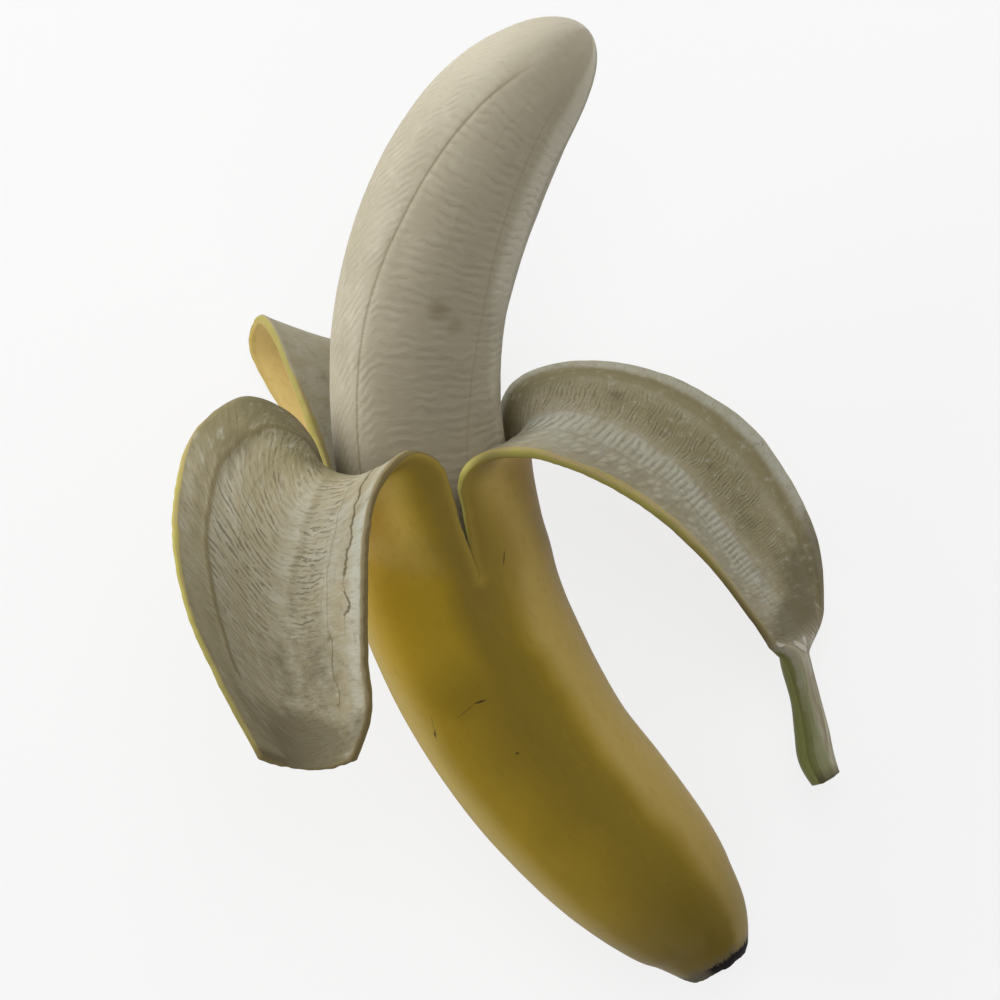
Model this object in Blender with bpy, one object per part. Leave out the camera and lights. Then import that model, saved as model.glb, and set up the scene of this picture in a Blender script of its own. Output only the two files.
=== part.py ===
"""A half-peeled banana lying on its side.

Two solids. The peel is one piece: a closed tube round the lower half of the fruit that is torn,
above three slits, into three strips folded outwards, one of them running on into the stem. The
flesh stands in that tube and rises clear of the peel above the slits.

Lengths are in millimetres up to the moment a mesh is made, where they become metres. The fruit
lies on the plane z = 0, on small flattened spots, with the middle of its outline at the origin.
A station is a distance along the centreline from the blossom end. A bearing is an angle round
the centreline in degrees: 0 faces up, 90 the stem's side, 180 the table.
"""

import math

import bmesh
import bpy
import numpy as np

MM = 0.001

# --- the whole fruit ---------------------------------------------------------------------------
TABLE_MIDDLE = (4.3, -3.4)  # the point below the middle of the outline, in these points' frame
REST_DEPTH = 0.5  # how far the lowest spots are pressed flat
CENTRELINE = (  # from the blossom end to the tip of the flesh
    (43.3, -92.9, 14.5),
    (39.0, -86.0, 14.9),
    (34.3, -80.6, 15.8),
    (19.5, -64.5, 18.7),
    (9.0, -52.0, 22.0),
    (-1.4, -34.7, 27.5),
    (-11.6, -8.6, 36.0),
    (-16.0, 15.5, 42.5),
    (-15.5, 34.0, 46.5),
    (-10.5, 52.5, 50.0),
    (-1.3, 70.0, 53.5),
    (16.5, 87.5, 57.0),
)
AXIS_STEPS = 600
RIDGES = 5
RIDGE_BEARING = 20.0

# --- the peel ----------------------------------------------------------------------------------
WALL = 2.2
TORN_EDGE = 0.8  # thickness at a torn edge, as a share of the wall
PEEL_RIDGE = 0.022  # rise of the ridges, as a share of the radius
GIRTH = (  # station, outer radius
    (0.0, 7.4),
    (4.0, 9.9),
    (8.0, 12.0),
    (15.0, 14.7),
    (25.0, 17.0),
    (38.0, 18.4),
    (55.0, 19.0),
    (75.0, 19.6),
    (110.0, 19.5),
    (160.0, 19.1),
    (240.0, 18.9),
)
BLOSSOM_FACE = ((0.9, 0.0), (0.2, 0.55))  # station, share of the end's radius: a shallow dish
SLITS = ((17.5, 101.0), (140.0, 98.0), (265.0, 113.0))  # bearing, station of the closed end
ROUND_ROWS = 3.0  # how many of a strip's given rows it takes to lose the tube's roundness
STRIP_COLUMNS = 12
TUBE_ROWS = 22
TUBE_CROWDING = 1.2  # above 1, the tube's rows lie closer together towards the blossom end
STRIP_ROWS = 24

# Each row is one place along a strip, from its slit to its end: one torn edge, the middle, and
# the other torn edge, in the order of the bearings.
STEM_STRIP = (
    ((-7.0, -2.0, 57.0), (6.7, -2.0, 41.0), (1.0, -4.0, 21.0)),
    ((-7.0, 4.0, 61.0), (4.4, 8.0, 44.0), (0.0, 10.0, 24.0)),
    ((-2.5, 8.0, 62.5), (6.0, 14.0, 45.0), (2.0, 21.5, 25.0)),
    ((7.5, 8.0, 59.5), (14.0, 16.5, 43.0), (11.5, 26.5, 21.0)),
    ((20.5, 3.0, 49.0), (25.0, 13.0, 37.0), (26.0, 26.5, 16.0)),
    ((30.9, -3.2, 42.0), (35.5, 6.0, 30.0), (40.5, 21.5, 11.0)),
    ((40.4, -11.8, 35.0), (44.5, -4.5, 24.0), (53.5, 12.0, 5.4)),
    ((48.9, -22.2, 26.0), (54.0, -17.0, 17.0), (64.5, -6.0, 0.7)),
    ((55.0, -29.5, 19.0), (60.0, -26.0, 13.0), (65.5, -22.0, 5.0)),
)
UNDER_STRIP = (
    ((0.0, -3.0, 19.5), (-20.0, 0.0, 17.0), (-33.5, 4.5, 34.0)),
    ((-2.5, 11.0, 20.0), (-23.0, 14.0, 17.5), (-36.5, 12.5, 30.0)),
    ((-5.5, 23.0, 19.5), (-25.5, 25.0, 17.5), (-41.0, 24.5, 26.5)),
    ((-8.0, 30.0, 15.0), (-28.5, 29.8, 15.0), (-45.5, 34.0, 22.0)),
    ((-8.5, 31.5, 8.5), (-29.5, 30.7, 9.5), (-49.0, 36.5, 13.0)),
    ((-9.5, 28.5, 3.0), (-30.0, 29.0, 6.5), (-51.0, 31.5, 6.0)),
    ((-11.5, 19.5, 1.2), (-29.5, 20.5, 6.0), (-47.5, 23.5, 2.5)),
    ((-15.5, 6.0, 1.2), (-28.5, 8.0, 5.0), (-41.5, 13.5, 1.2)),
    ((-21.5, -9.5, 1.2), (-26.5, -10.0, 3.0), (-32.0, -9.5, 1.2)),
)
SIDE_STRIP = (
    ((-34.5, 5.5, 38.0), (-25.5, -5.0, 57.0), (-7.0, -4.0, 58.0)),
    ((-37.0, 12.0, 42.0), (-28.0, 1.0, 61.0), (-11.0, 6.0, 64.0)),
    ((-42.0, 17.0, 47.0), (-30.0, 4.0, 65.0), (-16.5, 8.5, 69.0)),
    ((-49.5, 18.5, 54.0), (-33.5, 3.0, 67.0), (-22.0, 2.5, 73.0)),
    ((-57.5, 10.5, 59.0), (-37.5, -2.0, 66.5), (-24.0, -6.5, 74.0)),
    ((-60.0, -4.0, 63.0), (-40.5, -12.0, 63.0), (-24.5, -18.0, 72.0)),
    ((-58.0, -18.0, 63.0), (-41.0, -24.0, 60.0), (-24.5, -29.0, 69.0)),
    ((-53.0, -31.0, 61.0), (-39.5, -37.0, 57.5), (-24.0, -39.0, 66.0)),
    ((-44.5, -48.0, 57.5), (-35.5, -50.0, 55.0), (-27.0, -47.8, 62.0)),
)

# --- the stem ----------------------------------------------------------------------------------
STEM_ACROSS = (-0.3, -0.06, 0.95)  # from its middle to the edge that carries on the first one
STEM_FLATNESS = 0.92  # 1 draws the stem's two edges out sharp
STEM_SWELL = (-0.6, 1.0)  # where the leaf thickens into the stem, in rows past the strip's last
STEM_ROWS = 10
STEM = (  # centre, half width, thickness
    ((59.5, -32.5, 13.5), 3.6, 6.0),
    ((61.5, -40.0, 12.5), 3.5, 6.6),
    ((63.0, -46.5, 12.0), 3.6, 7.0),
    ((64.0, -52.0, 11.5), 3.8, 7.4),
    ((66.0, -56.5, 11.5), 3.2, 6.2),
)

# --- the flesh ---------------------------------------------------------------------------------
CLEARANCE = 0.6
FLESH_RIDGE = 0.012
FLESH_COLUMNS = 32
FLESH_ROWS = 36
FLESH_START = 7.0
BUTT_LENGTH, BUTT_FULLNESS = 16.0, 2.0
TIP_LENGTH, TIP_FULLNESS = 60.0, 2.8


def eased(amount):
    """0 to 1, level at both ends."""
    amount = np.clip(amount, 0.0, 1.0)
    return amount * amount * (3.0 - 2.0 * amount)


def smooth(at, places, values, first_slope=None):
    """Rows of values read from a smooth curve through them, where places rise."""
    places = np.asarray(places, float)
    values = np.asarray(values, float).reshape(len(places), -1)
    steps = np.diff(places)[:, None]
    rises = np.diff(values, axis=0) / steps
    slopes = np.empty_like(values)
    slopes[1:-1] = (rises[:-1] * steps[1:] + rises[1:] * steps[:-1]) / (steps[1:] + steps[:-1])
    slopes[0] = 1.5 * rises[0] - 0.5 * slopes[1] if first_slope is None else first_slope
    slopes[-1] = 1.5 * rises[-1] - 0.5 * slopes[-2]
    at = np.ravel(np.asarray(at, float))
    cell = np.clip(np.searchsorted(places, at, side="right") - 1, 0, len(places) - 2)
    step = steps[cell]
    t = ((at - places[cell]) / steps[cell, 0])[:, None]
    h = t * t * (3.0 - 2.0 * t)
    return (
        values[cell] * (1.0 - h)
        + values[cell + 1] * h
        + slopes[cell] * step * t * (1.0 - t) ** 2
        - slopes[cell + 1] * step * t * t * (1.0 - t)
    )


class Centreline:
    """The fruit's bent axis, read by station."""

    def __init__(self, points):
        points = np.asarray(points, float)
        chords = np.linalg.norm(np.diff(points, axis=0), axis=1)
        knots = np.concatenate([[0.0], np.cumsum(chords)])
        self.path = smooth(np.linspace(0.0, knots[-1], AXIS_STEPS), knots, points)
        walked = np.linalg.norm(np.diff(self.path, axis=0), axis=1)
        self.stations = np.concatenate([[0.0], np.cumsum(walked)])
        self.length = float(self.stations[-1])
        self.headings = np.gradient(self.path, self.stations, axis=0)

    def read(self, table, station):
        """Rows of table at the stations."""
        columns = [np.interp(station, self.stations, table[:, i]) for i in range(3)]
        return np.stack(columns, axis=-1)

    def point(self, station, bearing, radius):
        """Points at the bearing and the radius round the axis."""
        heading = self.read(self.headings, station)
        heading /= np.linalg.norm(heading, axis=-1, keepdims=True)
        side = np.cross(heading, (0.0, 0.0, 1.0))
        side /= np.linalg.norm(side, axis=-1, keepdims=True)
        up = np.cross(side, heading)
        angle = np.radians(bearing)[..., None]
        out = side * np.sin(angle) + up * np.cos(angle)
        return self.read(self.path, station) + out * np.asarray(radius, float)[..., None]


AXIS = Centreline(CENTRELINE)


def ridged(radius, bearing, rise):
    """The radius at a bearing of a fruit that is softly five-sided."""
    wave = np.cos(np.radians(RIDGES * (np.asarray(bearing) - RIDGE_BEARING)))
    return radius * (1.0 + rise * wave)


def peel_radius(station):
    """The outer radius of the peel at a station."""
    places, radii = zip(*GIRTH)
    return smooth(station, places, radii)[:, 0].reshape(np.shape(station))


def tube_point(station, bearing):
    """A point half way through the wall of the peel's tube."""
    station, bearing = np.broadcast_arrays(np.asarray(station, float), bearing)
    radius = ridged(peel_radius(station), bearing, PEEL_RIDGE) - WALL / 2
    return AXIS.point(station, bearing, radius)


def carrying_lines(strip, start, end):
    """Functions from place to point for a strip's two edges and middle, between two slits.

    Place counts along the strip: 0 on the tube, 1 at the strip's first row, and so on.
    """
    start = np.array(start)
    end = np.array(end) + (360.0 * (end[0] < start[0]), 0.0)
    lines = []
    for index, (bearing, station) in enumerate((start, (start + end) / 2.0, end)):
        root = tube_point(station, bearing)
        heading = root - tube_point(station - 1.0, bearing)
        points = np.vstack([root, strip[:, index]])
        slope = heading * np.linalg.norm(points[1] - points[0])
        lines.append(lambda place, p=points, s=slope: smooth(place, range(len(p)), p, s))
    return lines


def strip_surface(lines, ring, place):
    """The mid-surface of a strip as rows and columns of points. Its first row is the ring."""
    across = np.linspace(0.0, 1.0, len(ring))[None, :, None]
    first, middle, last = (line(place)[:, None, :] for line in lines)
    pull = 2.0 * middle - (first + last) / 2.0
    surface = first * (1 - across) ** 2 + 2 * pull * across * (1 - across) + last * across**2
    roundness = ring[None] - surface[:1]
    return surface + roundness * (1.0 - eased(place / ROUND_ROWS))[:, None, None]


class Sheet:
    """A surface of four-cornered faces, whose points have a thickness each."""

    def __init__(self):
        self.points, self.thickness, self.faces = [], [], []

    def add(self, points, thickness):
        """Adds an array of points, and returns their numbers in the same rows and columns."""
        shape = np.shape(points)[:-1]
        start = len(self.points)
        self.points.extend(np.reshape(points, (-1, 3)))
        self.thickness.extend(np.broadcast_to(thickness, shape).ravel())
        return np.arange(start, start + math.prod(shape)).reshape(shape)

    def join(self, grid):
        """Adds the faces between the rows and columns of a grid of point numbers."""
        corners = grid[:-1, :-1], grid[:-1, 1:], grid[1:, 1:], grid[1:, :-1]
        self.faces.extend(np.stack(corners, axis=-1).reshape(-1, 4).tolist())

    def normals(self):
        """Unit normals at the points, each face weighted by its area."""
        points = np.array(self.points)
        total = np.zeros_like(points)
        for a, b, c, d in self.faces:
            total[[a, b, c, d]] += np.cross(points[c] - points[a], points[d] - points[b])
        return total / np.linalg.norm(total, axis=1, keepdims=True)

    def solid(self):
        """(points, faces) of the closed solid round the sheet, with a rim on every open edge."""
        middle = np.array(self.points)
        half = self.normals() * np.array(self.thickness)[:, None] / 2.0
        count = len(middle)
        faces = [list(face) for face in self.faces]
        faces += [[i + count for i in reversed(face)] for face in self.faces]
        sides = {(a, b) for face in self.faces for a, b in zip(face, face[1:] + face[:1])}
        for a, b in sorted(sides):
            if (b, a) not in sides:
                faces.append([b, a, a + count, b + count])
        return np.vstack([middle + half, middle - half]), faces


def torn_ring():
    """The bearing and the last station of each column of the tube, strip by strip."""
    bearings, stations = [], []
    share = np.arange(STRIP_COLUMNS) / STRIP_COLUMNS
    for here, there in zip(SLITS, SLITS[1:] + SLITS[:1]):
        bearings.append(here[0] + (there[0] - here[0]) % 360.0 * share)
        stations.append(here[1] + (there[1] - here[1]) * eased(share))
    return np.concatenate(bearings), np.concatenate(stations)


def leaf_thickness(columns):
    """The thickness across a strip: the wall's, less at the two torn edges."""
    across = np.linspace(-1.0, 1.0, columns)
    return WALL * (1.0 - (1.0 - TORN_EDGE) * across**6)


def with_stem(strip):
    """The strip's rows with the stem's after them."""
    half = np.array([width * np.array(STEM_ACROSS) for _, width, _ in STEM])
    centre = np.array([point for point, _, _ in STEM])
    return np.concatenate([strip, np.stack([centre + half, centre, centre - half], axis=1)])


def stem_thickness(place, columns):
    """The thickness along and across the stem's strip: the leaf's, swelling into the stem."""
    across = np.linspace(-1.0, 1.0, columns)
    neck = len(STEM_STRIP)
    depths = [WALL, WALL, *(depth for _, _, depth in STEM)]
    depth = smooth(place, [0.0, *range(neck, neck + len(STEM) + 1)], depths)
    round_section = depth * np.sqrt(1.0 - STEM_FLATNESS * across**2)
    start, end = STEM_SWELL
    share = eased((place - neck - start) / (end - start))[:, None]
    return leaf_thickness(columns) * (1.0 - share) + round_section * share


def make_tube(sheet):
    """Adds the closed tube, and returns the numbers of the points round its torn end."""
    bearings, stations = torn_ring()
    (pole_station, _), (dish_station, dish_share) = BLOSSOM_FACE
    dish_radius = np.full_like(bearings, (GIRTH[0][1] - WALL / 2) * dish_share)
    dish = AXIS.point(np.full_like(bearings, dish_station), bearings, dish_radius)
    share = np.linspace(0.0, 1.0, TUBE_ROWS + 1)[:, None] ** TUBE_CROWDING
    tube = sheet.add(np.vstack([dish[None], tube_point(share * stations, bearings)]), WALL)
    pole = sheet.add(AXIS.point(np.array([pole_station]), np.zeros(1), np.zeros(1)), WALL)
    sheet.join(np.hstack([tube, tube[:, :1]]))
    sheet.join(np.vstack([np.repeat(pole, len(bearings) + 1), np.append(tube[0], tube[0, 0])]))
    return np.append(tube[-1], tube[-1, 0])


def make_strip(sheet, index, ring):
    """Adds the strip that starts at the slit of this index."""
    columns = ring[index * STRIP_COLUMNS : (index + 1) * STRIP_COLUMNS + 1]
    strip = np.array((STEM_STRIP, UNDER_STRIP, SIDE_STRIP)[index])
    place = np.linspace(0.0, len(strip), STRIP_ROWS + 1)
    thickness = np.tile(leaf_thickness(len(columns)), (len(place), 1))
    if index == 0:
        stem = np.linspace(len(strip), len(strip) + len(STEM), STEM_ROWS + 1)
        place = np.append(place, stem[1:])
        thickness = stem_thickness(place, len(columns))
        strip = with_stem(strip)
    lines = carrying_lines(strip, SLITS[index], SLITS[(index + 1) % len(SLITS)])
    surface = strip_surface(lines, np.array(sheet.points)[columns], place)
    sheet.join(np.vstack([columns, sheet.add(surface[1:], thickness[1:])]))


def make_peel():
    """(points, faces) of the peel: the tube, its three strips and the stem."""
    sheet = Sheet()
    ring = make_tube(sheet)
    for index in range(len(SLITS)):
        make_strip(sheet, index, ring)
    return sheet.solid()


def flesh_radius(station):
    """The radius of the flesh: the tube's less its wall, rounded off at both ends."""
    full = peel_radius(station) - WALL - CLEARANCE
    for left, length, fullness in (
        (station - FLESH_START, BUTT_LENGTH, BUTT_FULLNESS),
        (AXIS.length - station, TIP_LENGTH, TIP_FULLNESS),
    ):
        short = 1.0 - np.clip(left / length, 0.0, 1.0)
        full = full * np.sqrt(1.0 - short**fullness)
    return full


def make_flesh():
    """(points, faces) of the flesh."""
    bearings = np.arange(FLESH_COLUMNS) * 360.0 / FLESH_COLUMNS
    turn = np.linspace(0.0, math.pi, FLESH_ROWS + 1)[1:-1, None]
    station = FLESH_START + (AXIS.length - FLESH_START) * (1.0 - np.cos(turn)) / 2.0
    radius = ridged(flesh_radius(station), bearings[None], FLESH_RIDGE)
    flesh = Sheet()
    rows = flesh.add(AXIS.point(*np.broadcast_arrays(station, bearings, radius)), 0.0)
    ends = np.array([FLESH_START, AXIS.length])
    first, last = flesh.add(AXIS.point(ends, np.zeros(2), np.zeros(2)), 0.0)
    grid = np.vstack([np.full_like(rows[:1], first), rows, np.full_like(rows[:1], last)])
    flesh.join(np.hstack([grid, grid[:, :1]]))
    return np.array(flesh.points), flesh.faces


def plain_material(name, colour, roughness):
    """A Principled material of one colour."""
    material = bpy.data.materials.new(name)
    material.use_nodes = True
    shader = material.node_tree.nodes["Principled BSDF"]
    shader.inputs["Base Color"].default_value = (*colour, 1.0)
    shader.inputs["Roughness"].default_value = roughness
    shader.inputs["Metallic"].default_value = 0.0
    return material


def add_object(name, points, faces, material):
    """An object from points in millimetres, set over the origin and pressed flat on the table."""
    points = points - (*TABLE_MIDDLE, REST_DEPTH)
    points[:, 2] = np.maximum(points[:, 2], 0.0)
    build = bmesh.new()
    vertices = [build.verts.new(point * MM) for point in points]
    for face in faces:
        corners = [vertices[i] for k, i in enumerate(face) if i != face[k - 1]]
        build.faces.new(corners)
    bmesh.ops.recalc_face_normals(build, faces=build.faces)
    mesh = bpy.data.meshes.new(name)
    build.to_mesh(mesh)
    build.free()
    mesh.shade_smooth()
    mesh.materials.append(material)
    bpy.context.scene.collection.objects.link(bpy.data.objects.new(name, mesh))


def main():
    """Clears the scene and makes the peel and the flesh."""
    for old in list(bpy.data.objects):
        bpy.data.objects.remove(old)
    skin = plain_material("peel_skin", (0.42, 0.28, 0.06), 0.55)
    flesh = plain_material("flesh", (0.48, 0.43, 0.31), 0.6)
    add_object("peel", *make_peel(), skin)
    add_object("flesh", *make_flesh(), flesh)


main()
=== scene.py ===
"""The looks of a half-peeled banana lying on its side.

A fine mesh stands in for each of the frame's two solids: the peel, which is torn into strips that
fold outwards, one of them running on into the stem, and the flesh inside it. Every finish is made
of nodes that read values kept on the points of the meshes, such as the distance to a torn edge.

Lengths are in millimetres up to the moment a mesh is made, where they become metres. A station is
a distance along the centreline from the blossom end. A bearing is an angle round the centreline
in degrees: 0 faces up, 90 the stem's side, 180 the table. A place counts along a strip: 0 at its
slit, 1 at its first given row, and so on. A share runs from 0 at a strip's first edge to 1 at its
last. Colours are linear.
"""

import logging
import math
from collections.abc import Callable, Sequence
from dataclasses import dataclass, field
from enum import Enum

import bpy
import numpy as np
from mathutils import Matrix, Vector, noise


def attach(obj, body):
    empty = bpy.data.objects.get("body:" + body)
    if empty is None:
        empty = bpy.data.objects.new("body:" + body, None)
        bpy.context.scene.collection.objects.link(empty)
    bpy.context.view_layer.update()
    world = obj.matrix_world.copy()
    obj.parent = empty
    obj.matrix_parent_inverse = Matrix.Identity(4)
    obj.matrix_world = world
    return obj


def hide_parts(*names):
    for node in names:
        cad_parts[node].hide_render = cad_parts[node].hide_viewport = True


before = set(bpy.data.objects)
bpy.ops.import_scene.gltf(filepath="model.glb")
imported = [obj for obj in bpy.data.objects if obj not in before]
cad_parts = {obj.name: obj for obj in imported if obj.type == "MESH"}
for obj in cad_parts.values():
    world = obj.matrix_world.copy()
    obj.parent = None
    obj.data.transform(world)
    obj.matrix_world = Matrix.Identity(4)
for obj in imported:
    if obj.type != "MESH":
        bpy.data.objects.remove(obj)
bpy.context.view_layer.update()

Array = np.ndarray
Pair = tuple[float, float]
Triple = tuple[float, float, float]
Table = tuple[tuple[float, ...], ...]
Line = Callable[[Array], Array]
Socket = bpy.types.NodeSocket
Material = bpy.types.Material
Object = bpy.types.Object
log = logging.getLogger("banana")

MM = 0.001
TABLE_MIDDLE = (4.3, -3.4)  # the point below the middle of the outline, in these points' frame
REST_DEPTH = 0.5  # how far the lowest spots are pressed flat


# --- curves and noise --------------------------------------------------------------------------


@dataclass(frozen=True)
class Lumps:
    """One layer of a surface's unevenness."""

    wavelength: float | Triple  # the size of its lumps, or one size for each of x, y and z
    height: float
    seed: int

    def at(self, places: Array, seed: int = 0) -> Array:
        """Its height at some points. The seed tells this surface's noise from another's."""
        return self.height * rumple(places, self.wavelength, self.seed + seed)


def layered(layers: Sequence[Lumps], places: Array, seed: int = 0) -> Array:
    """The sum of some layers of unevenness at some points."""
    return sum(layer.at(places, seed) for layer in layers)


def turned(bearing: Array, start: Array) -> Array:
    """Degrees from one bearing to another by the shorter way, from -180 to 180."""
    return (bearing - start + 180.0) % 360.0 - 180.0


def eased(amount: Array) -> Array:
    """0 to 1, level at both ends."""
    amount = np.clip(amount, 0.0, 1.0)
    return amount * amount * (3.0 - 2.0 * amount)


def hump(distance: Array, reach: float) -> Array:
    """1 where the distance is 0, falling smoothly to 0 past the reach on either side."""
    return np.exp(-((distance / reach) ** 2))


def smooth(
    at: Array, places: Sequence[float], values: Sequence, first_slope: Array | None = None
) -> Array:
    """Reads a smooth curve through given values.

    Args:
        at: the places to read.
        places: where the values lie, rising.
        values: a number or a row of numbers for each place.
        first_slope: the curve's slope at its first place, if it isn't left to the values.

    Returns:
        One row for each place read.
    """
    places = np.asarray(places, float)
    values = np.asarray(values, float).reshape(len(places), -1)
    steps = np.diff(places)[:, None]
    rises = np.diff(values, axis=0) / steps
    slopes = np.vstack([rises, rises[-1:]])
    slopes[1:-1] = (rises[:-1] * steps[1:] + rises[1:] * steps[:-1]) / (steps[1:] + steps[:-1])
    slopes[0] = 1.5 * rises[0] - 0.5 * slopes[1] if first_slope is None else first_slope
    slopes[-1] = 1.5 * rises[-1] - 0.5 * slopes[-2]
    at = np.ravel(np.asarray(at, float))
    cell = np.clip(np.searchsorted(places, at, side="right") - 1, 0, len(places) - 2)
    step = steps[cell]
    t = ((at - places[cell]) / steps[cell, 0])[:, None]
    h = t * t * (3.0 - 2.0 * t)
    return (
        values[cell] * (1.0 - h)
        + values[cell + 1] * h
        + slopes[cell] * step * t * (1.0 - t) ** 2
        - slopes[cell + 1] * step * t * t * (1.0 - t)
    )


def rumple(places: Array, wavelength: float | Triple, seed: int) -> Array:
    """Smooth noise, from about -1 to 1.

    Args:
        places: points, with x, y and z on the last axis.
        wavelength: the size of its lumps, or one size for each of x, y and z.
        seed: a number of the caller's own, so that no two noises are alike.

    Returns:
        One number for each point.
    """
    shift = Vector((17.3, -9.1, 5.7)) * seed
    scaled = (places / np.asarray(wavelength)).reshape(-1, 3).tolist()
    values = [noise.noise(Vector(point) + shift) for point in scaled]
    return np.array(values).reshape(places.shape[:-1])


def split(table: Sequence[tuple[float, ...]]) -> tuple[Array, Array]:
    """The first column of a table, and its other columns."""
    whole = np.asarray(table, float)
    return whole[:, 0], whole[:, 1:]


def arc_lengths(points: Array, axis: int) -> Array:
    """Measures the distance walked along one axis of a grid of points.

    Args:
        points: points, with x, y and z on the last axis.
        axis: the axis to walk along.

    Returns:
        Millimetres from the axis's first point, one number for each point.
    """
    steps = np.linalg.norm(np.diff(points, axis=axis), axis=-1)
    start = np.zeros_like(np.take(steps, [0], axis=axis))
    return np.concatenate([start, np.cumsum(steps, axis=axis)], axis=axis)


# --- the fruit's form --------------------------------------------------------------------------


class Centreline:
    """The fruit's bent axis, read by station."""

    STEPS = 600

    def __init__(self, points: Sequence[Triple]) -> None:
        """Walks a smooth curve through some points and measures it.

        Args:
            points: the points, from the blossom end to the tip.
        """
        guide = np.asarray(points, float)
        knots = arc_lengths(guide, 0)
        self.path = smooth(np.linspace(0.0, knots[-1], self.STEPS), knots, guide)
        self.stations = arc_lengths(self.path, 0)
        self.length = float(self.stations[-1])
        self.headings = np.gradient(self.path, self.stations, axis=0)

    def read(self, table: Array, station: Array) -> Array:
        """Rows of a table at the stations."""
        columns = [np.interp(station, self.stations, table[:, i]) for i in range(3)]
        return np.stack(columns, axis=-1)

    def point(self, station: Array, bearing: Array, radius: Array) -> Array:
        """Points round the axis.

        Args:
            station: how far along.
            bearing: in which direction.
            radius: how far out.

        Returns:
            Points, with x, y and z on the last axis.
        """
        station, bearing, radius = np.broadcast_arrays(station, bearing, radius)
        heading = self.read(self.headings, station)
        heading /= np.linalg.norm(heading, axis=-1, keepdims=True)
        side = np.cross(heading, (0.0, 0.0, 1.0))
        side /= np.linalg.norm(side, axis=-1, keepdims=True)
        up = np.cross(side, heading)
        angle = np.radians(bearing)[..., None]
        out = side * np.sin(angle) + up * np.cos(angle)
        return self.read(self.path, station) + out * radius[..., None]


@dataclass(frozen=True)
class FruitForm:
    """The form that the peel and the flesh share."""

    centreline: tuple[Triple, ...] = (
        (43.3, -92.9, 14.5),
        (39.0, -86.0, 14.9),
        (34.3, -80.6, 15.8),
        (19.5, -64.5, 18.7),
        (9.0, -52.0, 22.0),
        (-1.4, -34.7, 27.5),
        (-11.6, -8.6, 36.0),
        (-16.0, 15.5, 42.5),
        (-15.5, 34.0, 46.5),
        (-10.5, 52.5, 50.0),
        (-1.3, 70.0, 53.5),
        (16.5, 87.5, 57.0),
    )
    girth: Table = (  # station, outer radius of the peel
        (0.0, 7.4),
        (4.0, 9.9),
        (8.0, 12.0),
        (15.0, 14.7),
        (25.0, 17.0),
        (38.0, 18.4),
        (55.0, 19.0),
        (75.0, 19.7),
        (97.0, 19.8),
        (112.0, 19.5),
        (160.0, 19.1),
        (240.0, 18.9),
    )
    wall: float = 2.2
    clearance: float = 0.6  # what the flesh is given between it and the peel
    ridges: int = 5
    texture_radius: float = 19.4  # the radius of the straightened fruit that finishes are laid on

    def axis(self) -> Centreline:
        """The bent axis."""
        return Centreline(self.centreline)

    def peel_radius(self, station: Array) -> Array:
        """The outer radius of the peel at the stations."""
        places, radii = zip(*self.girth)
        return smooth(station, places, radii)[:, 0].reshape(np.shape(station))

    def faceted(self, radius: Array, turn: Array, rise: float, sharpness: float) -> Array:
        """A radius that rises at each ridge and falls in between.

        Args:
            radius: the round radius.
            turn: degrees from the first ridge.
            rise: the ridges' height, as a share of the radius.
            sharpness: near 0 the ridges are crisp, near 1 they are round.

        Returns:
            The radius with its ridges.
        """
        half = np.radians(self.ridges * turn / 2.0)
        fall = np.sqrt(np.sin(half) ** 2 + sharpness**2) / math.sqrt(1.0 + sharpness**2)
        return radius * (1.0 + rise * (1.0 - 2.0 * fall))

    def straightened(self, station: Array, bearing: Array) -> Array:
        """Where points would lie if the fruit were a straight round bar along z.

        Args:
            station: how far along each lies.
            bearing: in which direction.

        Returns:
            Points, with x, y and z on the last axis.
        """
        station, bearing = np.broadcast_arrays(np.asarray(station, float), bearing)
        angle = np.radians(bearing)
        round_bar = np.sin(angle), np.cos(angle)
        return np.stack([r * self.texture_radius for r in round_bar] + [station], axis=-1)


# --- meshes ------------------------------------------------------------------------------------


class Fact(Enum):
    """What a finish can read at a point of a mesh."""

    PLACE = "straight_place"  # where the point lies on the straightened fruit
    WEAVE = "weave_place"  # where it lies across and along its strip, laid flat
    SIDE = "side"  # 1 on the skin, -1 on the pith, in between on a torn edge
    EDGE = "edge_mm"  # distance from the nearest torn edge
    LIP = "lip_mm"  # how far the torn edge's colour runs on over the pith
    TAN = "tan"  # 0 where the torn edge is lime, 1 where it is tan
    STRING = "string"  # distance across from the nearest string or seam, in half widths or mm
    TONE = "tone"  # 0 to 1, how dark that string or seam is
    CRACK = "crack_mm"  # distance across from the crack
    CYCLES = "rib_cycles"  # how many ribs lie between here and the strip's slit
    RIBS = "ribs"  # 0 to 1, how strongly the surface is ribbed crosswise
    HATCH = "hatch"  # 0 to 1, how strongly fine broken lines cross it
    SWEEP = "sweep"  # 0 to 1, how long those lines are
    CELLS = "cells"  # 0 to 1, how strongly it is netted into small cells
    PALE = "pale"  # how pale the pith is: 0 beige, 1 pale, 1.5 and above white, which is painted light
    OLIVE = "olive"  # 0 to 1, how olive it is; its olive spots also paint shade
    STAIN = "stain"  # how dark and brown the surface is, from stains and from painted shade: 0 clean, 1 and above full
    FRAY = "fray"  # 0 to 1, how much of it is torn white fibres
    STEM = "stem"  # 0 on the leaf, 1 at the stem's cut end


FAR = 50.0  # a distance that stands for "nowhere near"
# The palest value, where white paints light.
MOST_PALE_AND_LIT = 1.8
VECTORS = (Fact.PLACE, Fact.WEAVE)
NO_FACTS = {fact: 0.0 for fact in Fact if fact not in VECTORS}
NO_FACTS |= {Fact.SIDE: 1.0, Fact.EDGE: FAR, Fact.STRING: FAR, Fact.CRACK: FAR}
Facts = dict[Fact, Array]


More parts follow.
